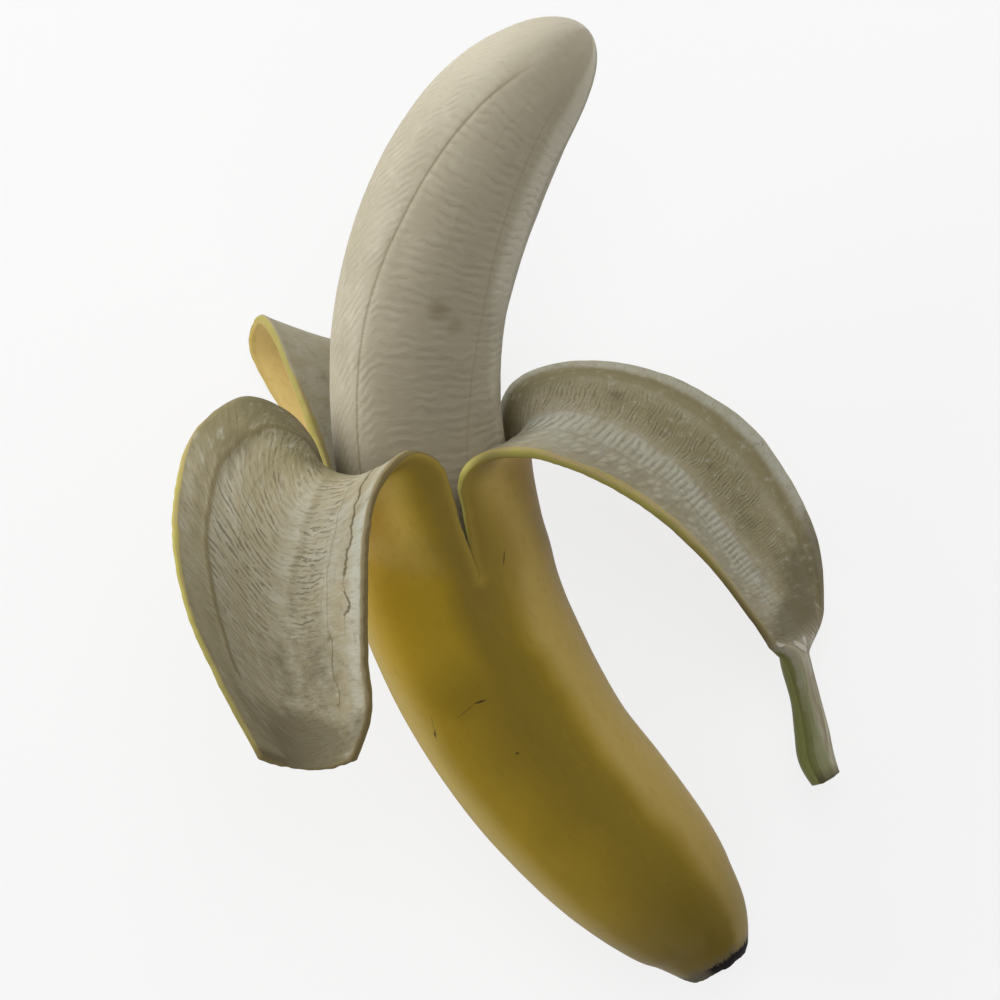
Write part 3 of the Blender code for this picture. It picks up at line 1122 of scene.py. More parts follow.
    def swelling(self, outer: Array, inner: Array, normal: Array, half: Array) -> list[Array]:
        """Lays the rows of the torn edge, which swells between skin and pith.

        Args:
            outer: the skin's points along the edge, in order.
            inner: the pith's points.
            normal: the mid-surface's normals.
            half: half the peel's thickness.

        Returns:
            The points of each row, from the skin's side.
        """
        centre = (outer + inner) / 2.0
        ahead = np.roll(centre, -1, axis=0) - np.roll(centre, 1, axis=0)
        outward = np.cross(ahead, normal)
        outward /= np.linalg.norm(outward, axis=1, keepdims=True)
        bulge = self.rim_bulge * np.minimum(half * 2.0, self.form.wall)
        bulge = bulge * (1.0 + layered(self.rim_lumps, centre)[:, None])
        shares = [step / self.rim_steps for step in range(1, self.rim_steps)]
        swells = [bulge * math.sin(math.pi * share) ** 0.8 for share in shares]
        return [
            outer * (1.0 - share) + inner * share + outward * swell
            for share, swell in zip(shares, swells)
        ]

    def join_rim(self, skin: Skin, grid: Array, centre: Array) -> None:
        """Adds the faces of the torn edge, in lengths that fit the flat sheet.

        Args:
            skin: the mesh to add to.
            grid: the numbers of its points, by row.
            centre: the points along its middle.
        """
        grid = np.hstack([grid, grid[:, :1]])
        walked = arc_lengths(np.vstack([centre, centre[:1]]), 0)
        depth = np.linspace(0.0, self.form.wall, self.rim_steps + 1)
        longest = skin.sheet.WIDTH / 2 - 2 * skin.sheet.GAP
        pieces = math.ceil(walked[-1] / longest)
        cuts = np.searchsorted(walked, np.linspace(0.0, walked[-1], pieces + 1)[1:-1])
        for start, end in zip([0, *cuts], [*cuts, len(walked) - 1]):
            run = slice(start, end + 1)
            skin.join(grid[::-1, run], walked[run] - walked[start], depth)

    def build(self, material: Material) -> Object:
        """Makes the peel.

        Args:
            material: its finish.

        Returns:
            The object.
        """
        ring = self.lay_tube()
        for index in range(len(self.strips)):
            self.lay_strip(index, ring)
        return self.close().build("peel_looks", material)


STEM_STRIP = Strip(
    rows=(
        ((-6.6, -2.0, 57.0), (5.9, -2.0, 41.0), (1.0, -4.0, 21.0)),
        ((-7.0, 4.0, 61.0), (4.4, 8.0, 44.0), (0.0, 10.0, 24.0)),
        ((-2.5, 8.0, 62.5), (6.0, 14.0, 45.0), (2.0, 21.5, 25.0)),
        ((7.5, 8.0, 59.5), (14.0, 16.5, 43.0), (11.5, 26.5, 21.0)),
        ((20.5, 3.0, 49.0), (25.0, 13.0, 37.0), (26.0, 26.5, 16.0)),
        ((30.9, -3.2, 42.0), (35.5, 6.0, 30.0), (40.5, 21.5, 11.0)),
        ((40.4, -11.8, 35.0), (44.5, -4.5, 24.0), (53.5, 12.0, 5.4)),
        ((48.9, -22.2, 26.0), (54.0, -17.0, 17.0), (64.5, -6.0, 0.7)),
        ((54.2, -29.2, 19.0), (59.8, -26.0, 13.0), (65.5, -22.0, 5.0)),
    ),
    strings=(
        Trace(((2.8, 0.26), (4.5, 0.25), (6.5, 0.31), (8.2, 0.36)), 0.5, 1, 0.3, 0.35),
        Trace(((2.6, 0.49), (5.0, 0.47), (8.3, 0.5)), 0.6, 3, 0.8, 0.15),
        Trace(((1.6, 0.86), (4.0, 0.9), (6.2, 0.915), (7.4, 0.9), (8.7, 0.8)), 0.4, 4, 1.2, 0.35),
    ),
    across=(
        (0.0, 0.0, 0.0, 0.0, 0.2, 0.15), (0.07, 0.0, 0.1, 0.1, 0.3, 0.2),
        (0.12, 0.0, 0.15, 0.9, 0.5, 0.2), (0.24, 0.0, 0.15, 0.9, 0.6, 0.15),
        (0.3, 0.8, 0.1, 0.1, 0.7, 0.1), (0.43, 0.8, 0.1, 0.0, 0.65, 0.05),
        (0.49, 0.1, 0.3, 0.0, 0.35, 0.2), (0.57, 0.0, 0.8, 0.0, 0.2, 0.35),
        (0.77, 0.0, 0.8, 0.0, 0.2, 0.35), (0.83, 0.0, 0.2, 0.0, 0.3, 0.3),
        (0.9, 0.0, 0.0, 0.0, 0.3, 0.85), (0.95, 0.0, 0.1, 0.1, 0.7, 0.2),
        (1.0, 0.0, 0.1, 0.1, 0.65, 0.2),
    ),
    along=(
        (0.0, 0.7, 1.2, -0.4), (2.0, 0.9, 1.2, -0.4), (3.2, 1.0, 1.4, -0.3), (4.2, 1.0, 1.0, 0.0),
        (7.3, 1.0, 1.0, 0.1), (8.3, 0.3, 0.6, 0.1), (9.0, 0.0, 0.5, 0.0), (14.0, 0.0, 0.5, 0.0),
    ),
    periods=((0.0, 2.2), (3.0, 2.1), (5.0, 1.8), (7.0, 1.5), (14.0, 1.4)),
    slants=((0.0, 0.3), (1.0, 0.3)),
    rib_height=0.045,
    rib_share=0.3,
    rib_wobble=0.6,
    sweep=0.6,
    # Olive spots, which also paint shade on the strip's far side near its root.
    olive_and_shade_spots=((2.9, 0.88, 1.2, 0.12, 1.0), (6.2, 0.68, 1.3, 0.12, 0.35)),
    rims=(
        (0.0, 0.8, 0.3, 0.0, 0.6), (3.0, 1.4, 0.3, 0.0, 0.6), (5.6, 1.5, 0.3, 0.0, 0.6),
        (6.6, 1.2, 0.3, 0.4, 0.6), (8.0, 1.2, 0.4, 0.75, 0.8), (9.2, 1.2, 0.3, 1.0, 1.0),
        (14.0, 0.3, 0.3, 1.0, 1.0),
    ),
    # Brown stains, and painted shade at the neck.
    stained=(
        (8.75, 0.5, 0.5, 0.42, 1.5), (8.3, 0.74, 0.6, 0.26, 1.0), (9.1, 0.55, 0.25, 0.4, 1.3),
        (1.8, 0.93, 1.3, 0.12, 1.0), (7.9, 0.5, 0.4, 0.3, 0.5), (8.6, 0.97, 0.9, 0.1, 1.3),
        (8.6, 0.0, 1.5, 0.06, 1.0), (9.8, 0.55, 0.6, 0.16, 1.3), (3.0, 0.15, 0.65, 0.3, 0.95),
        (4.7, 0.7, 0.16, 0.1, 0.6), (6.4, 0.66, 0.3, 0.08, 0.5), (7.2, 0.6, 0.3, 0.1, 0.5),
    ),
    frayed=(
        (9.7, 0.3, 0.3, 0.26, 1.0), (10.1, 0.3, 0.7, 0.07, 0.75), (9.15, 0.06, 0.3, 0.06, 0.9),
        (9.4, 0.26, 0.25, 0.06, 0.9), (9.4, 0.46, 0.25, 0.06, 0.9), (9.5, 0.72, 0.25, 0.1, 0.9),
    ),
    seed=100,
)
UNDER_STRIP = Strip(
    rows=(
        ((0.0, -3.0, 19.5), (-20.0, 0.0, 17.0), (-33.5, 4.5, 34.0)),
        ((-2.5, 11.0, 20.0), (-23.0, 14.0, 17.5), (-36.5, 12.5, 30.0)),
        ((-5.5, 23.0, 19.5), (-25.5, 25.0, 17.5), (-41.0, 24.5, 26.5)),
        ((-8.0, 30.0, 15.0), (-28.5, 29.8, 15.0), (-45.5, 34.0, 22.0)),
        ((-8.5, 31.5, 8.5), (-29.5, 30.7, 9.5), (-49.0, 36.5, 13.0)),
        ((-9.5, 28.5, 3.0), (-30.0, 29.0, 6.5), (-51.0, 31.5, 6.0)),
        ((-11.5, 19.5, 1.2), (-29.5, 20.5, 6.0), (-47.5, 23.5, 2.5)),
        ((-15.5, 6.0, 1.2), (-28.5, 8.0, 5.0), (-41.5, 13.5, 1.2)),
        ((-21.5, -9.5, 1.2), (-26.5, -10.0, 3.0), (-32.0, -9.5, 1.2)),
    ),
    # Paleness above 1 paints light into the back flap's shaded pith.
    across=(
        (0.0, 0.0, 0.1, 0.0, 0.7, 0.1), (0.3, 0.2, 0.7, 0.1, 1.0, 0.0),
        (0.6, 0.2, 0.7, 0.1, 1.5, 0.0), (0.8, 0.0, 0.4, 0.1, 1.75, 0.0),
        (0.93, 0.0, 0.3, 0.0, 1.75, 0.0), (1.0, 0.0, 0.1, 0.0, 1.4, 0.0),
    ),
    along=(
        (0.0, 1.0, 1.0, 0.0), (1.5, 0.54, 0.47, -0.57), (3.0, 0.33, 0.23, -0.83),
        (4.5, 0.33, 0.22, -0.84), (6.0, 0.47, 0.38, -0.67), (7.5, 0.71, 0.66, -0.36),
        (9.0, 1.0, 1.0, 0.0),
    ),
    periods=((0.0, 1.7), (1.5, 1.13), (3.0, 0.87), (4.5, 0.86), (6.0, 1.03), (9.0, 1.7)),
    rims=(
        (0.0, 0.8, 1.6, 0.0, 0.35), (0.4, 0.0, 1.5, 0.0, 0.35), (1.0, 0.8, 1.6, 0.0, 0.35),
        (1.5, 1.6, 1.7, 0.0, 0.35), (2.0, 0.8, 1.6, 0.0, 0.35), (2.4, -1.0, 1.2, 0.0, 0.35),
        (3.0, -1.0, 0.1, 0.0, 0.35), (3.4, -1.0, -1.0, 0.0, 0.35), (9.0, -1.0, -1.0, 0.0, 0.35),
    ),
    seed=200,
)
SIDE_STRIP = Strip(
    rows=(
        ((-34.5, 5.5, 38.0), (-25.5, -5.0, 57.0), (-8.1, -3.6, 58.0)),
        ((-37.0, 12.0, 42.0), (-28.0, 1.0, 61.0), (-11.0, 6.0, 64.0)),
        ((-42.0, 17.0, 47.0), (-30.0, 4.0, 65.0), (-16.5, 8.5, 69.0)),
        ((-49.5, 18.5, 54.0), (-33.5, 3.0, 67.0), (-22.0, 2.5, 73.0)),
        ((-57.5, 10.5, 59.0), (-37.5, -2.0, 66.5), (-24.0, -6.5, 74.0)),
        ((-60.0, -4.0, 63.0), (-40.5, -12.0, 63.0), (-24.5, -18.0, 72.0)),
        ((-58.0, -18.0, 63.0), (-41.0, -24.0, 60.0), (-24.5, -29.0, 69.0)),
        ((-53.0, -31.0, 61.0), (-39.5, -37.0, 57.5), (-24.0, -39.0, 66.0)),
        ((-44.5, -48.0, 57.5), (-35.5, -50.0, 55.0), (-27.0, -47.8, 62.0)),
    ),
    strings=(
        Trace(
            ((1.5, 0.14), (3.0, 0.15), (5.0, 0.135), (6.5, 0.15), (7.9, 0.18)), 0.25, 8, 0.85, 0.75
        ),
        Trace(((3.4, 0.72), (4.9, 0.77), (5.8, 0.78), (6.9, 0.8)), 0.4, 9, 0.3, 0.35),
        Trace(((3.3, 0.52), (4.9, 0.6), (5.7, 0.6), (6.4, 0.58)), 0.5, 12, 1.6, 0.3),
        Trace(((6.6, 0.8), (7.0, 0.83), (7.5, 0.84), (7.9, 0.86)), 0.9, 13, 0.25, 0.7),
    ),
    cracks=(
        Trace(((3.1, 0.8), (3.6, 0.83), (4.3, 0.875), (5.0, 0.895), (5.75, 0.875)), 1.0, 10),
        Trace(((5.95, 0.885), (6.15, 0.93), (6.35, 0.905)), 0.6, 11),
    ),
    across=(
        (0.0, 0.0, 0.1, 0.0, 0.0, 0.5), (0.03, 0.0, 0.3, 0.0, 0.2, 0.2),
        (0.115, 0.0, 0.4, 0.0, 0.1, 0.3), (0.17, 0.1, 1.0, 0.0, 0.4, 0.05),
        (0.3, 0.1, 1.0, 0.0, 0.15, 0.1), (0.45, 0.1, 1.0, 0.0, 0.3, 0.0),
        (0.53, 0.0, 0.4, 0.0, 0.5, 0.1), (0.6, 0.0, 0.9, 0.0, 0.42, 0.05),
        (0.73, 0.0, 0.9, 0.0, 0.42, 0.0), (0.78, 0.0, 0.25, 0.1, 0.5, 0.05),
        (0.9, 0.0, 0.1, 0.1, 0.4, 0.05), (0.95, 0.0, 0.05, 0.0, 0.8, 0.0),
        (1.0, 0.0, 0.0, 0.0, 0.6, 0.1),
    ),
    along=(
        (0.0, 0.5, 0.6, 0.2), (2.4, 0.8, 0.8, 0.1), (3.7, 1.0, 0.6, 0.12), (4.8, 1.0, 1.0, 0.0),
        (6.2, 1.0, 0.8, 0.0), (7.4, 0.5, 0.65, 0.05), (9.0, 0.25, 0.3, 0.2),
    ),
    periods=((0.0, 2.5), (4.0, 2.4), (9.0, 2.6)),
    slants=((0.0, 0.62), (0.42, 0.62), (0.58, -0.28), (1.0, -0.28)),
    rib_height=0.04,
    rib_share=0.0,
    rib_wobble=0.8,
    rims=(
        (0.0, 0.3, 0.6, 0.5, 1.0), (4.3, 0.2, 0.5, 0.9, 1.0), (4.8, 0.45, 0.5, 0.5, 1.0),
        (5.3, 0.9, 0.5, 0.1, 1.0), (6.3, 0.8, 0.45, 0.0, 1.0), (7.6, 0.4, 0.45, 0.2, 1.0),
        (9.0, 0.4, 0.5, 0.7, 1.0),
    ),
    # Brown stains, and painted shade on the flap's upper left and its lower end, which face away
    # from the lamps.
    stained=(
        (4.7, 0.14, 1.1, 0.09, 0.8), (3.5, 0.38, 0.6, 0.12, 0.8), (7.7, 0.5, 1.1, 0.16, 0.6),
        (7.4, 0.72, 1.8, 0.24, 0.6), (8.6, 0.6, 0.6, 0.5, 1.3), (8.97, 0.5, 0.12, 0.8, 1.4),
        (8.3, 0.97, 0.6, 0.07, 0.9),
    ),
    # Olive spots, which also paint shade on the flap's upper left, turned from the lamps.
    olive_and_shade_spots=((3.7, 0.3, 1.3, 0.2, 0.7), (2.9, 0.42, 0.9, 0.2, 0.8), (3.9, 0.08, 1.0, 0.16, 0.9)),
    seed=300,
)


# --- the flesh ---------------------------------------------------------------------------------


SEAM_ABOVE = (
    (7.0, -44.0),
    (126.0, -42.0),
    (143.0, -37.0),
    (166.0, -25.0),
    (196.0, -9.0),
    (214.0, 5.0),
)
SEAM_BESIDE = (
    (7.0, 30.0),
    (126.0, 34.0),
    (136.0, 40.0),
    (150.0, 47.0),
    (172.0, 44.0),
    (214.0, 36.0),
)


@dataclass
class Flesh:
    """The bare flesh, with the seams between its thirds."""

    form: FruitForm
    columns: int = 150
    row_step: float = 0.75
    start: float = 7.0
    butt: tuple[float, float] = (16.0, 2.0)  # length and fullness of the lower end's rounding
    tip: tuple[float, float] = (60.0, 2.8)
    ridge_rise: float = 0.012
    ridge_sharpness: float = 0.45
    ridge_bearing: float = -40.0
    seam_depth: float = 0.1
    seam_end: float = 206.0  # the station at which the seams have faded out
    rib_spacing: float = 1.95
    rib_height: float = 0.016
    slant: float = 0.32  # how far down the ribs run for each degree beyond the first seam
    slant_from: float = 14.0  # how many degrees before the first seam that begins
    slant_over: float = 60.0  # and over how many degrees it goes on
    rib_bends: tuple[Lumps, ...] = (Lumps(4.6, 0.5, 44), Lumps(1.8, 0.2, 45))
    rib_patches: Lumps = Lumps((3.2, 3.2, 2.2), 1.0, 46)
    rib_share: float = 0.1
    rib_softness: float = 0.45
    lumps: tuple[Lumps, ...] = (Lumps((8.0, 8.0, 7.0), 0.12, 41), Lumps((5.0, 5.0, 1.6), 0.03, 42))
    bared_from: float = 95.0  # the station at which the relief begins
    seams: tuple[tuple[float, Table], ...] = (  # tone; station, bearing
        (0.6, SEAM_ABOVE),
        (0.25, SEAM_BESIDE),
        (0.5, ((7.0, 175.0), (120.0, 170.0), (170.0, 165.0), (214.0, 150.0))),
    )
    blemishes: tuple[Triple, ...] = (  # station, bearing, amount
        (153.5, 15.0, 0.9),
        (151.0, 27.0, 0.7),
        (171.0, 22.0, 0.35),
    )
    blemish_reach: float = 2.6

    def __post_init__(self) -> None:
        """Prepares the axis."""
        self.axis = self.form.axis()

    def radius(self, station: Array) -> Array:
        """Reads the round radius: the tube's less its wall, closed at both ends.

        Args:
            station: how far along.

        Returns:
            Millimetres from the axis.
        """
        full = self.form.peel_radius(station) - self.form.wall - self.form.clearance
        for left, (length, fullness) in (
            (station - self.start, self.butt),
            (self.axis.length - station, self.tip),
        ):
            short = 1.0 - np.clip(left / length, 0.0, 1.0)
            full = full * np.sqrt(1.0 - short**fullness)
        return full

    def seam_distance(self, station: Array, bearing: Array) -> tuple[Array, Array]:
        """Finds the nearest seam.

        Args:
            station: how far along each point lies.
            bearing: in which direction.

        Returns:
            Signed millimetres across to that seam, and how dark it is.
        """
        shape = np.broadcast_shapes(station.shape, bearing.shape)
        best, tone = np.full(shape, FAR), np.zeros(shape)
        for dark, guide in self.seams:
            at = smooth(station, *zip(*guide))[:, 0].reshape(station.shape)
            off = np.radians(turned(bearing, at)) * np.maximum(self.radius(station), 1.0)
            closer = np.abs(off) < np.abs(best)
            best, tone = np.where(closer, off, best), np.where(closer, dark, tone)
        return best, tone

    def rows_along(self) -> tuple[Array, Array]:
        """Spaces rows evenly over the flesh, from the middle of one end to that of the other.

        Returns:
            The station of each row, and how far it has walked over the surface.
        """
        fine = np.linspace(self.start, self.axis.length, 800)
        slope = np.clip(np.gradient(self.radius(fine), fine), -12.0, 12.0)
        steps = np.hypot(np.diff(fine), np.diff(fine) * slope[1:])
        walked = np.concatenate([[0.0], np.cumsum(steps)])
        rows = round(float(walked[-1]) / self.row_step)
        even = np.linspace(0.0, walked[-1], rows + 1)
        return np.interp(even, walked, fine), even

    def build(self, material: Material) -> Object:
        """Makes the flesh.

        Args:
            material: its finish.

        Returns:
            The object.
        """
        stations, along = self.rows_along()
        station = stations[1:-1, None]
        bearing = np.linspace(0.0, 360.0, self.columns + 1)[None, :-1]
        turn = bearing - self.ridge_bearing
        full = self.radius(station)
        radius = self.form.faceted(full, turn, self.ridge_rise, self.ridge_sharpness)
        place = self.form.straightened(station, bearing)
        seam, tone = self.seam_distance(station, bearing)
        fading = eased((self.seam_end - station) / 14.0)
        beyond = turned(self.ridge_bearing, bearing) + self.slant_from
        slant = self.slant * np.clip(beyond, 0.0, self.slant_over)
        cycles = (station + slant) / self.rib_spacing + layered(self.rib_bends, place)
        patches = self.rib_patches.at(place) + self.rib_share
        worn = eased((self.axis.length - 8.0 - station) / 22.0) * 0.75 + 0.25
        ribs = eased(0.5 + patches / self.rib_softness) * worn
        wrinkles = layered(self.lumps, place) + self.rib_height * np.sin(math.tau * cycles) * ribs
        crease = self.seam_depth * (0.5 * hump(np.abs(seam) - 0.9, 0.6) - hump(seam, 0.45))
        bared = eased((station - self.bared_from) / 12.0) * eased(full / 4.0)
        proud = (wrinkles + crease * fading) * bared
        points = self.axis.point(station, bearing, radius + proud)
        stain = np.zeros(radius.shape)
        for at, toward, amount in self.blemishes:
            off = np.hypot(station - at, np.radians(bearing - toward) * full * 0.9)
            stain = np.maximum(stain, amount * hump(off, self.blemish_reach))
        skin = Skin()
        facts = {
            Fact.PLACE: place,
            Fact.STRING: seam,
            Fact.TONE: tone * fading,
            Fact.CYCLES: cycles,
            Fact.RIBS: ribs,
            Fact.STAIN: stain,
        }
        ids = skin.add(points, facts)
        ends = np.array([self.start, self.axis.length])
        tips = self.axis.point(ends, np.zeros(2), np.zeros(2))
        centre = self.form.straightened(ends, np.zeros(2)) * (0.0, 0.0, 1.0)
        first, last = skin.add(tips, {Fact.PLACE: centre, Fact.EDGE: np.zeros(2)})
        grid = np.vstack([np.full_like(ids[:1], first), ids, np.full_like(ids[:1], last)])
        grid = np.hstack([grid, grid[:, :1]])
        across = np.linspace(0.0, math.tau * float(full.max()), grid.shape[1])
        skin.join(grid, across, along)
        return skin.build("flesh_looks", material)


# --- nodes -------------------------------------------------------------------------------------


Value = float | Triple | Socket
Colour = Triple


class Graph:
    """A material's nodes, added one call at a time."""

    def __init__(self, name: str) -> None:
        """Starts a material with its Principled node.

        Args:
            name: the material's name.
        """
        self.material = bpy.data.materials.new(name)
        self.material.use_nodes = True
        self.tree = self.material.node_tree
        self.shader = self.tree.nodes["Principled BSDF"]

    def add(self, kind: str, inputs: dict[str | int, Value], **settings: object) -> bpy.types.Node:
        """Adds a node.

        Args:
            kind: its type, without the word ShaderNode.
            inputs: a number, a vector or another node's socket for each of its sockets.
            settings: the node's own properties.

        Returns:
            The node.
        """
        node = self.tree.nodes.new("ShaderNode" + kind)
        for name, value in settings.items():
            setattr(node, name, value)
        for key, value in inputs.items():
            self.plug(node.inputs[key], value)
        return node

    def plug(self, socket: Socket, value: Value) -> None:
        """Sets a socket to a constant, or links another node's socket to it.

        Args:
            socket: the socket to set.
            value: the constant, or the other socket.
        """
        if isinstance(value, Socket):
            self.tree.links.new(value, socket)
        elif isinstance(value, tuple) and socket.type == "RGBA":
            socket.default_value = (*value, 1.0)
        else:
            socket.default_value = value

    def fact(self, fact: Fact) -> Socket:
        """A value kept on the mesh's points."""
        node = self.add("Attribute", {}, attribute_name=fact.value)
        return node.outputs["Vector" if fact in VECTORS else "Fac"]

    def math(self, operation: str, *values: Value) -> Socket:
        """Arithmetic on numbers."""
        return self.add("Math", dict(enumerate(values)), operation=operation).outputs[0]

    def times(self, a: Value, b: Value) -> Socket:
        """The product of two numbers."""
        return self.math("MULTIPLY", a, b)

    def scaled(self, value: Value, by: Value, plus: Value) -> Socket:
        """A value times a number, plus another number."""
        return self.math("MULTIPLY_ADD", value, by, plus)

    def part(self, vector: Value, axis: str) -> Socket:
        """One of the three numbers of a vector."""
        return self.add("SeparateXYZ", {0: vector}).outputs[axis]

    def mix(self, share: Value, a: Value, b: Value) -> Socket:
        """A colour between a, at 0, and b, at 1."""
        return self.add("Mix", {0: share, 6: a, 7: b}, data_type="RGBA").outputs[2]

    def wash(
        self, colour: Value, over: Value, share: Value, strength: float = 1.0
    ) -> Socket:
        """A colour with another one laid over it, by a share times a strength."""
        return self.mix(self.times(share, strength), colour, over)

    def zone(self, value: Value, *ends: float) -> Socket:
        """1 between the second and third of four rising ends, 0 outside the first and last."""
        rising = self.band(value, ends[0], ends[1])
        return self.times(rising, self.band(value, ends[3], ends[2]))

    def bearing(self, place: Value, sway: float) -> Socket:
        """Reads the bearing of a place on the straightened fruit.

        Args:
            place: the place.
            sway: by how many degrees the bearing may drift, so that no line is ruled straight.

        Returns:
            Degrees, from -180 to 180.
        """
        x, y, _ = self.add("SeparateXYZ", {0: place}).outputs
        turn = self.times(self.math("ARCTAN2", x, y), 180.0 / math.pi)
        drift = self.noise(place, (15.0, 15.0, 18.0), 29.0, 1.0)
        return self.scaled(self.math("SUBTRACT", drift, 0.5), 2.0 * sway, turn)

    def between(self, share: Value, a: Value, b: Value) -> Socket:
        """A number between a, at 0, and b, at 1."""
        return self.add("Mix", {0: share, 2: a, 3: b}, data_type="FLOAT").outputs[0]

    def band(self, value: Value, start: float, end: float) -> Socket:
        """Turns a value into a share that rises smoothly.

        Args:
            value: the value.
            start: where the share is 0.
            end: where it is 1, above or below the start.

        Returns:
            The share.
        """
        names = {"Value": value, "From Min": start, "From Max": end}
        node = self.add("MapRange", names, interpolation_type="SMOOTHSTEP", clamp=True)
        if start > end:
            node.inputs["From Min"].default_value = end
            node.inputs["From Max"].default_value = start
            node.inputs["To Min"].default_value = 1.0
            node.inputs["To Max"].default_value = 0.0
        return node.outputs["Result"]

    def stretched(self, place: Value, sizes: Triple, shift: float = 0.0) -> Socket:
        """Turns millimetres into the units of a pattern.

        Args:
            place: points in millimetres.
            sizes: the size of the pattern's cells along x, y and z.
            shift: a number of the caller's own, so that no two patterns are alike.

        Returns:
            The points, in cells.
        """
        scale = tuple(1.0 / size for size in sizes)
        moved = {"Vector": place, "Scale": scale, "Location": (shift, shift * 0.7, shift * 1.3)}
        return self.add("Mapping", moved).outputs["Vector"]

    def noise(
        self,
        place: Value,
        sizes: Triple,
        shift: float = 0.0,
        detail: float = 3.0,
        roughness: float = 0.5,
        distortion: float = 0.0,
    ) -> Socket:
        """Makes cloudy noise.

        Args:
            place: points in millimetres.
            sizes: the size of its clouds along x, y and z.
            shift: a number of the caller's own, so that no two noises are alike.
            detail: how many finer layers it has.
            roughness: how strong they are.
            distortion: how far it is bent.

        Returns:
            Numbers from 0 to 1.
        """
        inputs = {
            "Vector": self.stretched(place, sizes, shift),
            "Scale": 1.0,
            "Detail": detail,
            "Roughness": roughness,
            "Distortion": distortion,
        }
        return self.add("TexNoise", inputs).outputs["Fac"]

    def specks(self, place: Value, reach: float, share: float) -> Socket:
        """Scatters round dots.

        Args:
            place: points, in cells.
            reach: the dots' radius, in cells.
            share: the share of the cells that have a dot.

        Returns:
            1 inside the dots and 0 outside.
        """
        cells = self.add("TexVoronoi", {"Vector": place, "Scale": 1.0, "Randomness": 1.0})
        dot = self.band(cells.outputs["Distance"], reach, reach * 0.5)
        picked = self.add("SeparateColor", {"Color": cells.outputs["Color"]}).outputs["Red"]
        return self.times(dot, self.math("LESS_THAN", picked, share))

    def finish(self, paint: "Paint") -> Material:
        """Plugs a paint into the Principled node.

        Args:
            paint: the paint.

        Returns:
            The material.
        """
        bump = self.add("Bump", {"Height": paint.height, "Strength": 1.0, "Distance": MM})
        self.plug(self.shader.inputs["Base Color"], paint.colour)
        self.plug(self.shader.inputs["Roughness"], paint.roughness)
        self.plug(self.shader.inputs["Normal"], bump.outputs["Normal"])
        return self.material


@dataclass(frozen=True)
class Paint:
    """What a finish gives: its colour, its roughness and its height in millimetres."""

    colour: Value
    roughness: Value
    height: Value


@dataclass(frozen=True)
class Mark:
    """A dark scratch or dot on the skin."""

    bearing: float
    station: float
    half_length: float
    half_width: float
    slant: float  # degrees from straight round the fruit
    depth: float = 0.8  # how dark it is, 0 to 1


@dataclass(frozen=True)
class Patch:
    """A soft-edged part of the fruit with a colour of its own."""

    colour: Colour
    bearings: tuple[float, ...]  # where it fades in, and out again if it does
    stations: tuple[float, ...] = ()  # the same
    strength: float = 1.0

    def lay(self, graph: Graph, colour: Value, station: Value, bearing: Value) -> Socket:
        """Lays it over a colour.

        Args:
            graph: the material's nodes.
            colour: the colour so far.
            station: the station of each point.
            bearing: its bearing.

        Returns:
            The colour with the patch.
        """
        shares = [
            (graph.zone if len(ends) == 4 else graph.band)(value, *ends)
            for value, ends in ((station, self.stations), (bearing, self.bearings))
            if ends
        ]
        share = graph.times(*shares) if len(shares) == 2 else shares[0]
        return graph.wash(colour, self.colour, share, self.strength)


